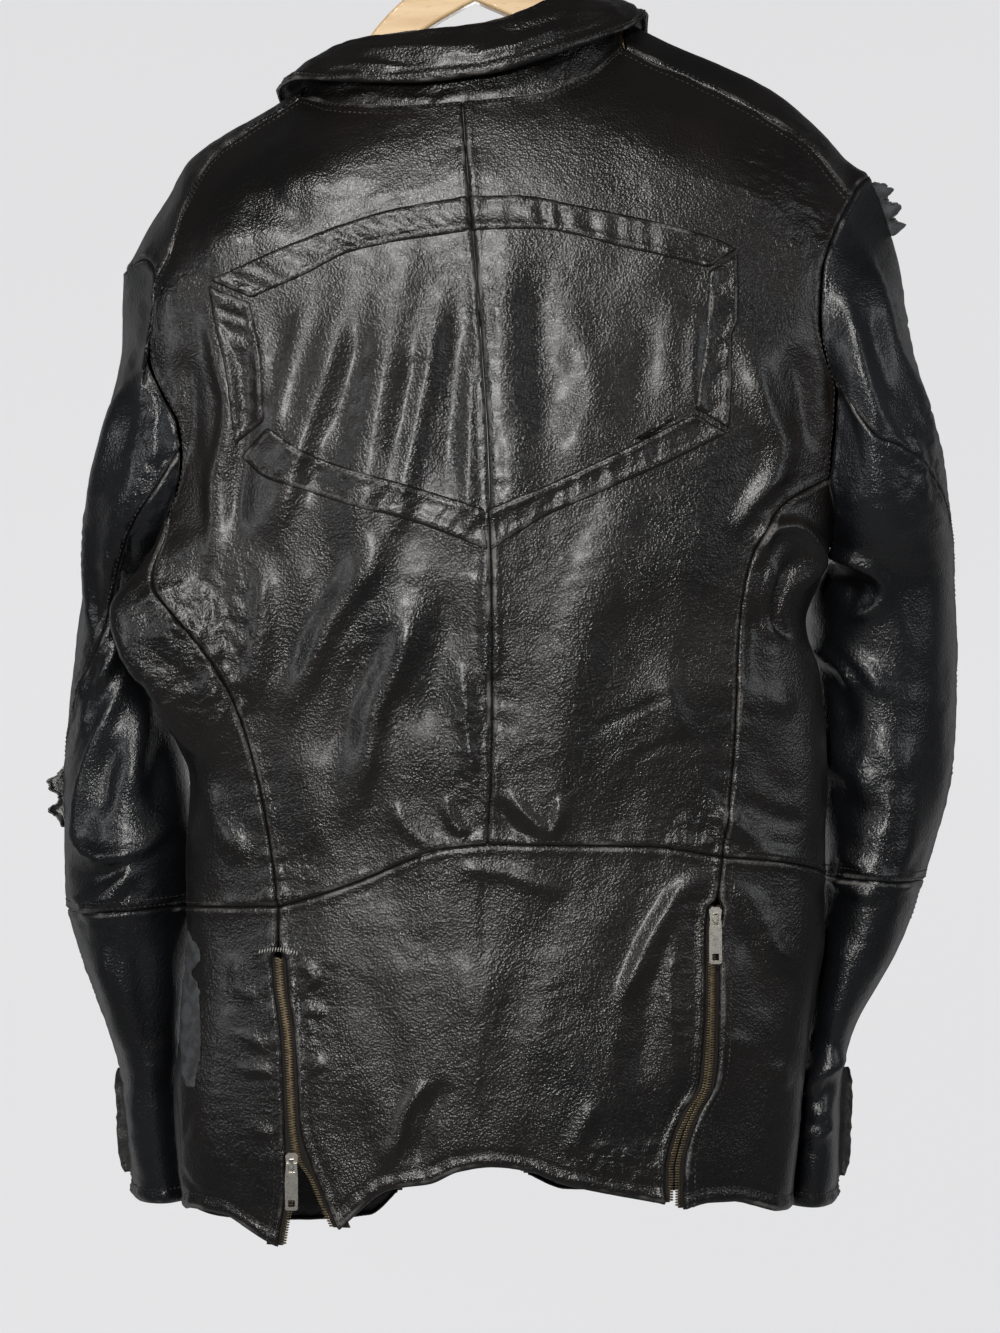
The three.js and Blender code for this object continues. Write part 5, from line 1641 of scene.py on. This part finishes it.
@dataclass
class Sleeve:
    """One sleeve: top and under piece, forearm and its vent flap."""

    side: int
    clear: float = 0.3
    step: float = 3.1

    def __post_init__(self) -> None:
        """Makes the curves that the surface is read from."""
        stations = SLEEVE_STATIONS[self.side]
        self.parts = [smooth([(row[0], row[k]) for row in stations]) for k in range(1, 7)]
        run = SEAMS[self.side].runs()
        cap = lambda t: FORM.shoulder(run["arm_cap"](t))
        self.loop = edge(
            (0.06, lambda t: cap(mix(0.5, 0, t))), (0.42, lambda t: FORM.point(run["arm_back"](t))),
            (0.58, lambda t: FORM.point(run["arm_under"](t))),
            (0.94, lambda t: FORM.point(run["arm_front"](t))),
            (1, lambda t: cap(mix(1, 0.5, t))),
        )
        creases = SLEEVE_RIGHT_BACK if self.side > 0 else SLEEVE_LEFT_BACK
        folds = tuple(self.front_folds())
        self.relief = Relief(creases, folds, CRUMPLES_SLEEVE, hang=0.6, big=1.35, level=1.5)
        self.sheets: dict[str, Sheet] = {}

    def front_folds(self) -> list[Crease]:
        """The folds of the sleeve's front, at its own width."""
        share = smooth([(row[2] * -1, row[0]) for row in SLEEVE_STATIONS[self.side]])
        folds = []
        for shape, *run in SLEEVE_FRONT_FOLDS:
            line = []
            for out, z in pairs(run):
                v = share(np.float64(-z))
                line.append((float(mix(self.parts[2](v), self.parts[0](v), out)), z))
            folds.append(Crease(line, *shape))
        return folds

    def section(self, t: Array, v: Array) -> Array:
        """Points of the plain tube at a share of the way round and a share of the run."""
        outer_x, outer_z, inner_x, inner_z, middle_y, half_depth = (part(v) for part in self.parts)
        share = (1 + np.cos(2 * math.pi * t)) / 2
        y = middle_y - half_depth * np.sin(2 * math.pi * t)
        return np.stack([mix(inner_x, outer_x, share), y, mix(inner_z, outer_z, share)], axis=-1)

    def point(self, at: Array) -> Array:
        """Points of the sleeve at (share of the way round, share of the run)."""
        t, v = at[..., 0], at[..., 1]
        fade = (1 - ease(v / CAP))[..., None]
        shaped = (self.loop(t - np.floor(t)) - self.section(t, 0 * v)) * fade
        return self.section(t, v) + shaped + np.array([self.side * self.clear, 0, 0])

    def inside(self, at: Array) -> Array:
        """The middle of the tube beside each point."""
        v = at[..., 1]
        return (self.section(0 * v, v) + self.section(0 * v + 0.5, v)) / 2

    def piece(
        self, node: str, around: tuple[Run, Run], run: Point, size: Point, finishes: dict[str, Finish],
        wardrobe: Wardrobe,
    ) -> None:
        """Builds one piece between two lines round the sleeve and two shares of its run."""
        start, end = around
        top, low = run
        across = lambda t, v: np.stack([mix(start(0 * t + v), end(0 * t + v), t), 0 * t + v], axis=-1)
        down = lambda line: lambda t: np.stack([line(mix(top, low, t)), mix(top, low, t)], axis=-1)
        edges = (lambda t: across(t, top), lambda t: across(t, low), down(start), down(end))
        cut = Cut(*edges, *size, finishes, step=self.step)
        at = cut.places()
        sheet = Sheet(self.point(at), self.inside(at), finishes).shape(self.relief)
        self.sheets[node] = sheet
        cloth_piece(f"{node}_{side_name(self.side)}", sheet, wardrobe.sleeve, "sleeve_leather")

    def build(self, wardrobe: Wardrobe, stitching: Stitching) -> None:
        """Makes the sleeve's pieces and sews them."""
        back_seam = smooth(BACK_SEAM[self.side])
        front = lambda v: 0 * v + FRONT_SEAM
        before = lambda v: 0 * v + FRONT_SEAM - 1
        vent = smooth(((0, 0.001), (VENT_FROM, 0.001), (1, 0.025)))
        upper = (0, CROSS_SEAM)
        self.piece("sleeve_top", (before, back_seam), upper, (240, 480), {}, wardrobe)
        self.piece("sleeve_under", (back_seam, front), upper, (200, 320), {}, wardrobe)
        hems = {"high": Finish.HEM, "start": Finish.EDGE, "end": Finish.EDGE}
        self.piece("forearm", (vent, lambda v: 1 - vent(v)), (CROSS_SEAM, 1), (270, 200), hems, wardrobe)
        self.flap(wardrobe)
        for node, side, offset in (
            ("sleeve_top", "end", 2.4), ("sleeve_top", "high", 2.4), ("sleeve_top", "high", 7.0),
            ("sleeve_under", "high", 2.4), ("sleeve_under", "high", 7.0), ("sleeve_top", "low", 2.4),
            ("forearm", "high", 10.0), ("forearm", "start", 2.4), ("forearm", "end", 2.4),
        ):
            stitching.row(self.sheets[node].line(side, offset))

    def flap(self, wardrobe: Wardrobe) -> None:
        """The cuff's vent flap, that stands off the outer edge."""
        v = np.linspace(0.935, 0.99, 40)[None, :]
        rise = np.linspace(-3.4, 7.5, 10)[:, None]
        at = np.stack(np.broadcast_arrays(0 * v, v), axis=-1)
        line = self.point(at)
        out = unit(line - self.inside(at)) * np.array([1, 0.25, 0.3])
        share = np.linspace(-1, 1, 40)
        reach = 1.06 - 0.5 * np.abs(share) ** 5 - 0.22 * billow(line[0], 11) + 0.1 * share
        base = line + out * (1.0 + rise[..., None] * reach[None, :, None])
        base[..., 1] += 1.6 * np.sin(rise * 0.35) + 1.6 * NOISE(base, 14)
        sheet = Sheet(base, base + np.array([0, 5, 0]), ALL_RAW)
        sheet.wear = 0 * sheet.wear + 0.5
        cloth_piece(f"vent_flap_{side_name(self.side)}", sheet, wardrobe.sleeve, "sleeve_leather", 1.2)


# ---- Collar ----


@dataclass
class Collar:
    """The stand that rises from the neck seam, and the fall that turns over it."""

    # Stations (share of the run, x, y, z) of the fold line and of the edge of the fall.
    fold_line: Sequence[Sequence[float]] = (
        (0, -44, 70, -178), (0.12, -88, 50, -142), (0.22, -108, 18, -106), (0.28, -103, -20, -98),
        (0.36, -84, -40, -92), (0.43, -50, -50, -89), (0.5, -12, -53, -88), (0.57, 26, -51, -76),
        (0.64, 54, -45, -64), (0.7, 76, -30, -62), (0.75, 84, -6, -56), (0.8, 84, 18, -70),
        (0.88, 60, 42, -112), (1, 22, 56, -160),
    )
    fall_edge: Sequence[Sequence[float]] = (
        (0, -84, 86, -225), (0.12, -126, 64, -166), (0.22, -141, 14, -116), (0.28, -130, -26, -117),
        (0.36, -92, -58, -124), (0.43, -44, -71, -127), (0.5, 0, -74, -123), (0.57, 46, -70, -110),
        (0.64, 82, -56, -95), (0.7, 104, -36, -82), (0.75, 114, -8, -69), (0.8, 114, 24, -77),
        (0.88, 100, 60, -126), (1, 66, 82, -205),
    )
    rise: float = -3.0
    under: float = 1.9
    tuck: float = 1.6
    room: float = 1.8
    swell: float = 7.0
    creases: tuple[Crease, ...] = ridges(
        ((3.0, 1.6), -100, -98, -60, -101, -20, -103, 20, -100),
        ((3.4, 1.5), -60, -92, -20, -90, 20, -84, 50, -76),
        ((3.0, 1.8), -10, -110, 20, -104, 44, -94, 64, -84),
        ((2.6, -1.4), 10, -96, 34, -88, 60, -78),
        ((3.0, 1.2), -110, -112, -80, -113, -50, -117),
        ((2.6, -1.2), -80, -108, -40, -112, 0, -112),
        ((4.0, 1.4), 60, -76, 80, -72, 96, -70),
    )

    def __post_init__(self) -> None:
        """Makes the neck seam and the two lines that the collar hangs between."""
        right, left = SEAMS[RIGHT].runs(), SEAMS[LEFT].runs()
        self.neck = edge(
            (0.22, lambda t: FORM.point(left["neck_front"](t))),
            (0.28, lambda t: FORM.shoulder(left["neck_cap"](1 - t))),
            (0.5, lambda t: FORM.point(left["neck_back"](1 - t))),
            (0.72, lambda t: FORM.point(right["neck_back"](t))),
            (0.78, lambda t: FORM.shoulder(right["neck_cap"](t))),
            (1, lambda t: FORM.point(right["neck_front"](1 - t))),
        )
        self.fold, self.edge = (self.stationed(rows) for rows in (self.fold_line, self.fall_edge))

    @staticmethod
    def stationed(rows: Sequence[Sequence[float]]) -> Run:
        """A curve in space through stations."""
        parts = [smooth([(row[0], row[k]) for row in rows]) for k in (1, 2, 3)]
        return lambda t: np.stack([part(t) for part in parts], axis=-1)

    @staticmethod
    def outward(points: Array) -> Array:
        """Level directions away from the middle of the neck."""
        return unit(points * np.array([1, 1, 0]) + np.array([10, 0, 0]))

    def stand(self, at: Array) -> Array:
        """Points of the stand at (share of the run, share of the rise)."""
        t, up = at[..., 0], at[..., 1:]
        foot = self.neck(t) + np.array([0, 0, self.rise])
        foot = foot - self.outward(foot) * self.under
        head = self.fold(t)
        return mix(foot, head - self.outward(head) * self.tuck, up)

    def fall(self, at: Array) -> Array:
        """Points of the fall at (share of the run, share of the way down)."""
        t, down = at[..., 0], at[..., 1:]
        head = self.fold(t) + np.array([0, 0, self.room])
        out = self.outward(head)
        swell = self.swell * np.sin(math.pi * np.clip(down, 0, 1)) ** 0.8
        return mix(head + out * self.room, self.edge(t), down) + out * swell

    def build(self, wardrobe: Wardrobe, stitching: Stitching) -> None:
        """Makes both pieces, with the long creases of a collar that has been turned up."""
        line = lambda value: lambda t: np.stack([t, 0 * t + value], axis=-1)
        end = lambda value: lambda t: np.stack([0 * t + value, t], axis=-1)
        relief = Relief(self.creases, (), (), hang=0.0, small=1.4)
        for node, surface, finishes in (
            ("collar_stand", self.stand, {}),
            ("collar_fall", self.fall, {"high": Finish.HEM, "start": Finish.HEM, "end": Finish.HEM}),
        ):
            cut = Cut(line(0), line(1), end(0), end(1), 470, 46, finishes, step=2.4)
            base = surface(cut.places())
            sheet = Sheet(base, base * np.array([0, 0, 1]) - np.array([10, 0, 40]), finishes)
            down = sheet.distance["low"]
            wave = NOISE(np.stack([sheet.run["low"], down * 4, 0 * down], -1), 26)
            sheet.shape(relief)
            sheet.points = sheet.points + sheet.normals * (0.9 * wave)[..., None]
            cloth_piece(node, sheet, wardrobe.body, "body_leather", 1.6)
            rows = (("high", 5.0), ("start", 5.0), ("end", 5.0)) if node == "collar_fall" else (("low", 2.4),)
            for side, offset in rows:
                stitching.row(sheet.line(side, offset))


# ---- Zips ----


@dataclass
class Zip:
    """A zip: two tapes with their rows of teeth, beside two leather edges given as (x, height) points."""

    name: str
    edges: dict[str, tuple[Line, int]]  # half's name: its leather edge and the way to the middle
    top: float
    place: Callable[[Array], Array]
    closed_above: float | None = None
    tape_under: float = 8.0
    teeth_out: float = 3.5
    lift: float = -2.4
    mesh_apart: float = 1.15  # from the middle of a closed zip to the middle of a row of teeth
    closing: float = 14.0  # length over which two rows come together under the slider
    tape_thick: float = 0.6
    pitch: float = 1.75
    tooth: tuple[float, float, float] = (1.1, 3.3, 1.8)  # along the tape, across it and through it

    def edge_line(self, half: str) -> Run:
        """The x of a half's leather edge at a height."""
        points = sorted(((z, x) for x, z in self.edges[half][0]), key=lambda at: at[0])
        return smooth(points)

    def heights(self, half: str) -> Array:
        """Heights down one half, from its top to the hem."""
        lowest = min(z for _, z in self.edges[half][0])
        return np.linspace(min(self.top, max(z for _, z in self.edges[half][0])), lowest + 1.5, 161)

    def teeth_line(self, half: str, z: Array) -> Array:
        """The x of a half's row of teeth: beside its leather, but meshed above the slider."""
        own, way = self.edge_line(half)(z), self.edges[half][1]
        loose = own + way * self.teeth_out
        if self.closed_above is None:
            return loose
        middle = np.mean([self.edge_line(other)(z) for other in self.edges], axis=0)
        closed = ease((z - self.closed_above) / self.closing + 0.5)
        return mix(loose, middle - way * self.mesh_apart, closed)

    def build(self, wardrobe: Wardrobe) -> None:
        """Makes the tapes and the teeth."""
        for half, (_, way) in self.edges.items():
            z = self.heights(half)
            teeth_x = self.teeth_line(half, z)
            self.tape(half, z, teeth_x, way, wardrobe)
            self.teeth(half, z, teeth_x, way, wardrobe)

    def tape(self, half: str, z: Array, teeth_x: Array, way: int, wardrobe: Wardrobe) -> None:
        """The woven tape of one half, from under the leather to the teeth."""
        own = self.edge_line(half)(z)
        shares = np.linspace(0, 1, 9)
        x = mix((own - way * self.tape_under)[:, None], (teeth_x - way * 0.4)[:, None], shares[None])
        base = FORM.point(self.place(np.stack([x, np.broadcast_to(z[:, None], x.shape)], axis=-1)))
        sheet = Sheet(base, FORM.inside(base), ALL_RAW)
        wave = 0.5 * NOISE(base, 24)
        sheet.points = base + sheet.normals * (self.lift + wave)[..., None]
        cloth_piece(f"{self.name}_{half}_tape", sheet, wardrobe.tape, "zip_tape", self.tape_thick, "woven")

    def teeth(self, half: str, z: Array, x: Array, way: int, wardrobe: Wardrobe) -> None:
        """One row of cast teeth, every other place, so that two rows mesh."""
        line = FORM.point(self.place(np.stack([x, z], axis=-1)))
        aside = FORM.point(self.place(np.stack([x + way, z], axis=-1))) - line
        run = running_length(line, 0)
        first = 0.0 if way > 0 else self.pitch / 2
        at = np.arange(1.0 + first, run[-1] - 1, self.pitch)
        middle, over = along_run(line, run, at), along_run(aside, run, at)
        ahead = along_run(line, run, at + 0.5)
        along, across = unit(ahead - middle), unit(over)
        out = unit(np.cross(along, across))
        out *= np.sign(np.sum(out * (middle - FORM.inside(middle)), axis=-1, keepdims=True))
        middle = middle + out * (self.lift + 0.9) + across * 0.2
        outline = (
            (-1, -0.5), (-0.55, -1), (0.45, -1), (1, -0.55), (1, 0.55), (0.45, 1), (-0.55, 1), (-1, 0.5),
        )
        long, wide, thick = (size / 2 for size in self.tooth)
        rings = []
        for height, grow in ((-thick, 1.0), (thick * 0.55, 1.0), (thick, 0.62)):
            corners = [
                middle + across * wide * a * grow + along * long * b * grow + out * height for a, b in outline
            ]
            rings.append(np.stack(corners, axis=1))
        points = np.stack(rings, axis=1).reshape(-1, 3)
        faces = prisms(len(middle), len(outline), len(rings))
        node = f"{self.name}_{half}_teeth"
        piece = new_object(f"{node}_cast", world(points), faces, wardrobe.teeth)
        turn_outwards(piece)
        piece.data.polygons.foreach_set("use_smooth", np.zeros(len(piece.data.polygons), bool))
        stand_in(piece, node, "zip_teeth")
        log.info("%s: %d teeth", node, len(middle))


SLIDER_HALF = 4.0  # from a slider's middle to where it parts the teeth


def make_zips(wardrobe: Wardrobe) -> None:
    """The two hem zips and the front zip, with the cast sliders and tabs of the frame."""
    for side in (RIGHT, LEFT):
        seams = SEAMS[side]
        edges = {"outer": (seams.zip_side, -side), "inner": (seams.zip_back, side)}
        name, closed_above = f"hem_zip_{side_name(side)}", seams.slider_at - SLIDER_HALF
        Zip(name, edges, seams.zip_from, FORM.on_back, closed_above).build(wardrobe)
    for side in (RIGHT, LEFT):
        edges = {side_name(side): (SEAMS[side].front_edge, -side)}
        Zip("front_zip", edges, 0.0, FORM.on_front).build(wardrobe)
    for zip_name in ("hem_zip_right", "hem_zip_left", "front_zip"):
        for part in ("slider", "tab"):
            node = frame["nodes"][f"{zip_name}_{part}"]
            dress_cast(node, wardrobe.nickel)


CAST_EDGE = 0.28  # width of a casting's softened edge


def dress_cast(node: Piece, material: Material) -> None:
    """Gives a CAD casting its finish and softened edges."""
    node.data.materials.clear()
    node.data.materials.append(material)
    flat = node.modifiers.new("flat faces", "DECIMATE")
    flat.decimate_type = "DISSOLVE"
    flat.angle_limit = math.radians(2)
    bevel = node.modifiers.new("soft edges", "BEVEL")
    bevel.width = CAST_EDGE * MM
    bevel.segments = 2
    bevel.harden_normals = False


# ---- Torn and worn places ----


@dataclass
class Tears:
    """The torn bits, and the patch where the finish has peeled."""

    strip_inner: Line = (
        (-195, -690), (-187, -706), (-194, -719), (-189, -724), (-187, -745), (-186, -765), (-190, -792),
    )
    strip_outer: Line = (
        (-196, -690), (-198, -706), (-197, -719), (-199, -724), (-202, -745), (-201, -768), (-196, -792),
    )

    def scrap(self, base: Array, wardrobe: Wardrobe, node: str, raw: bool, thick: float = 1.1) -> None:
        """Builds a scrap from a grid of points that stands for a CAD node."""
        sheet = Sheet(base, base + np.array([0, 5, 0]), ALL_RAW)
        sheet.wear = 0.4 + 0.4 * NOISE(base, 6)
        material, slot = (wardrobe.raw, "raw_leather") if raw else (wardrobe.sleeve, "sleeve_leather")
        cloth_piece(node, sheet, material, slot, thick)

    def ragged(self, root: Array, way: Array, lengths: Sequence[float], curl: float) -> Array:
        """A grid that runs from a root line to a torn edge with teeth of the lengths given.

        Args:
            root: (columns, 3) points of the line that it tears from.
            way: (3,) direction that it stands out in.
            lengths: how far each tooth and each gap reaches, in turn.
            curl: how far its edge bends out of its plane.
        Returns:
            (rows, columns, 3) points.
        """
        share = np.linspace(0, 1, len(root))
        reach = np.interp(share, np.linspace(0, 1, len(lengths)), lengths)
        frayed = np.stack([share * 57, 0 * share, 0 * share], axis=-1)
        reach = reach * (1 + 0.35 * NOISE(frayed, 6.1))
        reach = np.maximum(reach + 1.6 * NOISE(frayed, 2.1) + 0.9 * NOISE(frayed, 0.9), 1)
        rise = np.linspace(0, 1, 12)[:, None, None]
        grid = root[None] + way * reach[None, :, None] * rise
        bend = curl * np.sin(rise[..., 0] * 2.2 + 2.4 * share[None]) * rise[..., 0]
        grid[..., 1] += bend + 0.8 * NOISE(grid, 7)
        return grid

    def build(self, wardrobe: Wardrobe, sleeves: dict[int, Sleeve]) -> None:
        """Makes the torn shoulder, the torn sleeve edge and the peeled patch."""
        shoulder, cuff = (3, 9, 14, 7, 5, 12, 14, 4, 6, 11, 3), (2, 4, 10, 12, 11, 5, 4, 7, 12, 6, 3, 2)
        for node, side, run, lengths, way in (
            ("torn_shoulder", RIGHT, (0.005, 0.072), shoulder, (0.94, -0.05, 0.3)),
            ("torn_sleeve", LEFT, (0.618, 0.684), cuff, (-0.98, -0.05, 0.1)),
        ):
            v = np.linspace(*run, 120)
            root = sleeves[side].point(np.stack([0 * v, v], axis=-1)) + np.array([side * 0.8, 0, 0])
            self.scrap(self.ragged(root, np.array(way), lengths, 3.0), wardrobe, node, side == RIGHT)
        self.patch(wardrobe)

    def patch(self, wardrobe: Wardrobe) -> None:
        """The strip of bare suede down the left of the skirt, its edges ragged."""
        t = np.linspace(0, 1, 90)
        inner, outer = route(self.strip_inner)(t), route(self.strip_outer)(t)
        rough = 1.2 * NOISE(np.stack([inner[:, 1], 0 * t, 0 * t], -1), 3.4)
        inner[:, 0] += rough
        outer[:, 0] += 1.4 * NOISE(np.stack([outer[:, 1], 0 * t + 30, 0 * t], -1), 4)
        grid = mix(outer[:, None], inner[:, None], np.linspace(0, 1, 10)[None, :, None])
        base = FORM.point(FORM.on_back(grid))
        sheet = Sheet(base, FORM.inside(base), ALL_RAW)
        height = Relief(BODY_BACK, (), CRUMPLES_BODY).height(base, sheet.normals)
        sheet.points = base + sheet.normals * (height + 0.75 + 0.35 * NOISE(base, 6))[..., None]
        cloth_piece("torn_edge", sheet, wardrobe.raw, "raw_leather", 1.0)


# ---- Hanger ----


@dataclass
class Hanger:
    """A flat board cut to a hanger's shape, and its wire hook."""

    board: float = 13.0
    edge_round: float = 2.2
    wire: float = 2.0
    crown: float = 22.0
    foot: float = -65.6
    # The board's outline as corners and the control point before each, as (x, height) pairs.
    outline: Sequence[tuple[Point, Point]] = (
        ((-60, -86), (-120, -141)), ((-170, -186), (-206, -214)), ((-216, -216), (-212, -199)),
        ((-180, -166), (-143, -138)), ((-103, -120), (-78, -84)), ((-50, -44), (-6, -30)),
        ((34, -32), (60, -60)), ((80, -76), (116, -86)), ((164, -108), (206, -130)),
        ((222, -142), (210, -152)), ((140, -120), (96, -104)), ((50, -80), (-4, -57)),
    )

    def build(self, wardrobe: Wardrobe) -> None:
        """Makes the board and the hook."""
        self.arms(wardrobe)
        self.hook(wardrobe)

    def arms(self, wardrobe: Wardrobe) -> None:
        """The board, its edges rounded over."""
        points, last = [], np.array(self.outline[-1][1], float)
        for control, corner in self.outline:
            control, corner = np.array(control, float), np.array(corner, float)
            for t in np.linspace(0, 1, 13)[1:]:
                points.append((1 - t) ** 2 * last + 2 * t * (1 - t) * control + t * t * corner)
            last = corner
        ring = np.array([(x, -self.board / 2, z) for x, z in points])
        other = ring + np.array([0, self.board, 0])
        count = len(ring)
        faces = [tuple(range(count)), tuple(range(2 * count - 1, count - 1, -1))]
        faces += [tuple(face) for face in ring_faces(np.arange(count), np.arange(count) + count)]
        piece = new_object("hanger_board", world(np.concatenate([ring, other])), faces, wardrobe.wood)
        mesh = bmesh.new()
        mesh.from_mesh(piece.data)
        bmesh.ops.recalc_face_normals(mesh, faces=mesh.faces)
        rims = [
            rim for rim in mesh.edges
            if rim.calc_face_angle(0) > math.radians(60) and abs(rim.verts[0].co.y - rim.verts[1].co.y) < 1e-5
        ]
        bmesh.ops.bevel(mesh, geom=rims, offset=self.edge_round * MM, segments=4, affect="EDGES", profile=0.5)
        mesh.to_mesh(piece.data)
        mesh.free()
        piece.data.polygons.foreach_set("use_smooth", [len(p.vertices) == 4 for p in piece.data.polygons])
        stand_in(piece, "hanger_arms", "wood")
        log.info("hanger board: %d faces", len(piece.data.polygons))

    def hook(self, wardrobe: Wardrobe) -> None:
        """The wire hook, a tube along its middle line with a rounded tip."""
        r = self.crown
        line = (
            (0, self.foot), (0, -56), (6, -46), (17, -34), (r, -20), (15.6, -4.4), (0, self.wire),
            (-15.6, -4.4), (-r, -20), (-18, -32),
        )
        middle = route([(x, 0.0, z + GARMENT_DROP) for x, z in line])(np.linspace(0, 1, 120))
        along = unit(np.gradient(middle, axis=0))
        beside = np.cross(along, np.array([0.0, 1.0, 0.0]))
        angle = 2 * math.pi * np.arange(20) / 20
        radius = np.full(len(middle), self.wire)
        radius[-4:] = self.wire * np.array([0.97, 0.85, 0.6, 0.2])
        wheel = np.cos(angle)[None, :, None] * beside[:, None]
        wheel = wheel + np.sin(angle)[None, :, None] * np.array([0, 1.0, 0])
        points = middle[:, None] + wheel * radius[:, None, None]
        number = np.arange(len(middle) * 20).reshape(len(middle), 20)
        faces = [tuple(face) for j in range(len(middle) - 1) for face in ring_faces(number[j], number[j + 1])]
        faces += [tuple(number[0][::-1]), tuple(number[-1])]
        piece = new_object("hanger_wire", world(points.reshape(-1, 3)), faces, wardrobe.steel)
        stand_in(piece, "hanger_hook", "steel_wire")
        log.info("hanger hook: %d faces", len(faces))


# ---- Studio ----


@dataclass
class Studio:
    """A plain room whose sweep glows, a painted pool of light bright behind the jacket and dim elsewhere,
    soft lights, and a level camera.
    """

    floor: float = -2.0
    reach: float = 4.8
    sweep: float = 1.4
    camera_at: tuple[float, float, float] = (0.013, -1.900, -0.548)
    lens: float = 74.9

    def build(self) -> None:
        """Makes everything that isn't the object."""
        self.room()
        self.camera()
        self.light("key", (-0.32, -2.0, 0.8), (0.7, 0.4), 28, (1.0, 0.985, 0.96))
        self.light("near", (-0.22, -1.96, -0.30), (0.11, 0.11), 12, (1.0, 0.99, 0.97))
        self.light("side", (-1.7, -1.35, -0.35), (0.35, 0.7), 5, (0.97, 0.98, 1.0))
        self.light("fill", (1.8, -1.3, 0.0), (0.6, 1.0), 6, (0.93, 0.96, 1.0))
        self.light("front", (0.2, 2.6, -0.8), (0.7, 0.7), 12, (1.0, 1.0, 1.0))
        sky = bpy.data.worlds.new("sky")
        sky.use_nodes = True
        sky.node_tree.nodes["Background"].inputs["Color"].default_value = (0.93, 0.95, 1.0, 1.0)
        sky.node_tree.nodes["Background"].inputs["Strength"].default_value = 0.05
        bpy.context.scene.world = sky
        bpy.context.scene.view_settings.view_transform = "Standard"

    def room(self) -> None:
        """A round floor that sweeps up into a wall, the whole sweep glowing: a painted pool of light bright
        behind the jacket, dim further away.
        """
        profile = [(0.0, 0.0), (self.reach - self.sweep, 0.0)]
        profile += [
            (self.reach - self.sweep + self.sweep * math.sin(a), self.sweep * (1 - math.cos(a)))
            for a in np.linspace(0, math.pi / 2, 13)[1:]
        ]
        profile.append((self.reach, 4.9))
        turns = np.linspace(0, 2 * math.pi, 65)[:-1]
        points = [(r * math.cos(a), r * math.sin(a), self.floor + h) for r, h in profile for a in turns]
        count = len(turns)
        faces = [
            tuple(face)
            for j in range(len(profile) - 1)
            for face in ring_faces(np.arange(count) + j * count, np.arange(count) + (j + 1) * count)
        ]
        nodes = Nodes("painted_glow_wall")
        behind = (0.0, self.reach, -0.9)
        ends = {0: nodes.place, 1: behind}
        away = nodes.add("ShaderNodeVectorMath", {"operation": "DISTANCE"}, ends, "Value")
        # painted light: the sweep glows bright near a point behind the jacket and dim further off, standing
        # for a lit wall in a dark room
        painted_glow = nodes.blend(away.step(2.4, 5.2), (0.66, 0.66, 0.67), (0.035, 0.036, 0.039))
        grey = (0.3, 0.3, 0.3, 1.0)
        material = nodes.finish(Base_Color=grey, Roughness=0.9, Emission_Color=painted_glow, Emission_Strength=1.0)
        sweep = new_object("sweep", points, faces, material)

    def camera(self) -> None:
        """The camera, level and square to the back."""
        data = bpy.data.cameras.new("camera")
        data.lens = self.lens
        camera = bpy.data.objects.new("camera", data)
        camera.location = self.camera_at
        camera.rotation_euler = (math.pi / 2, 0, 0)
        bpy.context.scene.collection.objects.link(camera)
        bpy.context.scene.camera = camera

    @staticmethod
    def light(name: str, at: Sequence[float], size: Point, power: float, colour: Colour) -> None:
        """A soft rectangular light aimed at the middle of the jacket."""
        data = bpy.data.lights.new(name, "AREA")
        data.shape = "RECTANGLE"
        data.size, data.size_y = size
        data.energy = power
        data.color = colour
        lamp = bpy.data.objects.new(name, data)
        lamp.location = at
        lamp.rotation_euler = (Vector((0, 0, -0.45)) - Vector(at)).to_track_quat("-Z", "Y").to_euler()
        bpy.context.scene.collection.objects.link(lamp)


def bar_tack(body: Body) -> Stitching:
    """The pale worn tack across the top of the left zip."""
    tack = Stitching("bar_tack_left", long=3.2, radius=0.5)
    x = np.linspace(-146, -121, 15)
    z = -699 - 0.0128 * (x + 134) ** 2
    base = FORM.point(FORM.on_back(np.stack([x, z], axis=-1)))
    normals = np.tile([0.0, -1.0, 0.0], (len(x), 1))
    height = body.relief.height(base, normals)
    middle = base + normals * (height + 1.2)[:, None]
    along = np.tile([0.15, 0.0, 1.0], (len(x), 1))
    beside = np.tile([1.0, 0.0, -0.15], (len(x), 1))
    tack.add(middle, unit(along), unit(beside), normals)
    return tack


def main() -> None:
    """Builds the jacket, its hanger and the studio, and reports each piece."""
    logging.basicConfig(level=logging.INFO, format="%(name)s: %(message)s")
    wardrobe = Wardrobe()
    Studio().build()
    seams_thread = Stitching("seam_stitches")
    sleeve_thread = Stitching("sleeve_stitches")
    body = Body()
    body.build(wardrobe)
    body.sew(seams_thread)
    Bands(body.relief).build(wardrobe, seams_thread)
    Collar().build(wardrobe, seams_thread)
    sleeves = {side: Sleeve(side) for side in (RIGHT, LEFT)}
    for sleeve in sleeves.values():
        sleeve.build(wardrobe, sleeve_thread)
    make_zips(wardrobe)
    Tears().build(wardrobe, sleeves)
    Hanger().build(wardrobe)
    seams_thread.build(wardrobe.thread, "body_leather")
    sleeve_thread.build(wardrobe.thread, "sleeve_leather")
    bar_tack(body).build(wardrobe.pale_thread, "body_leather")
    log.info("stitches: %d", seams_thread.count + sleeve_thread.count)


if __name__ == "__main__":
    main()
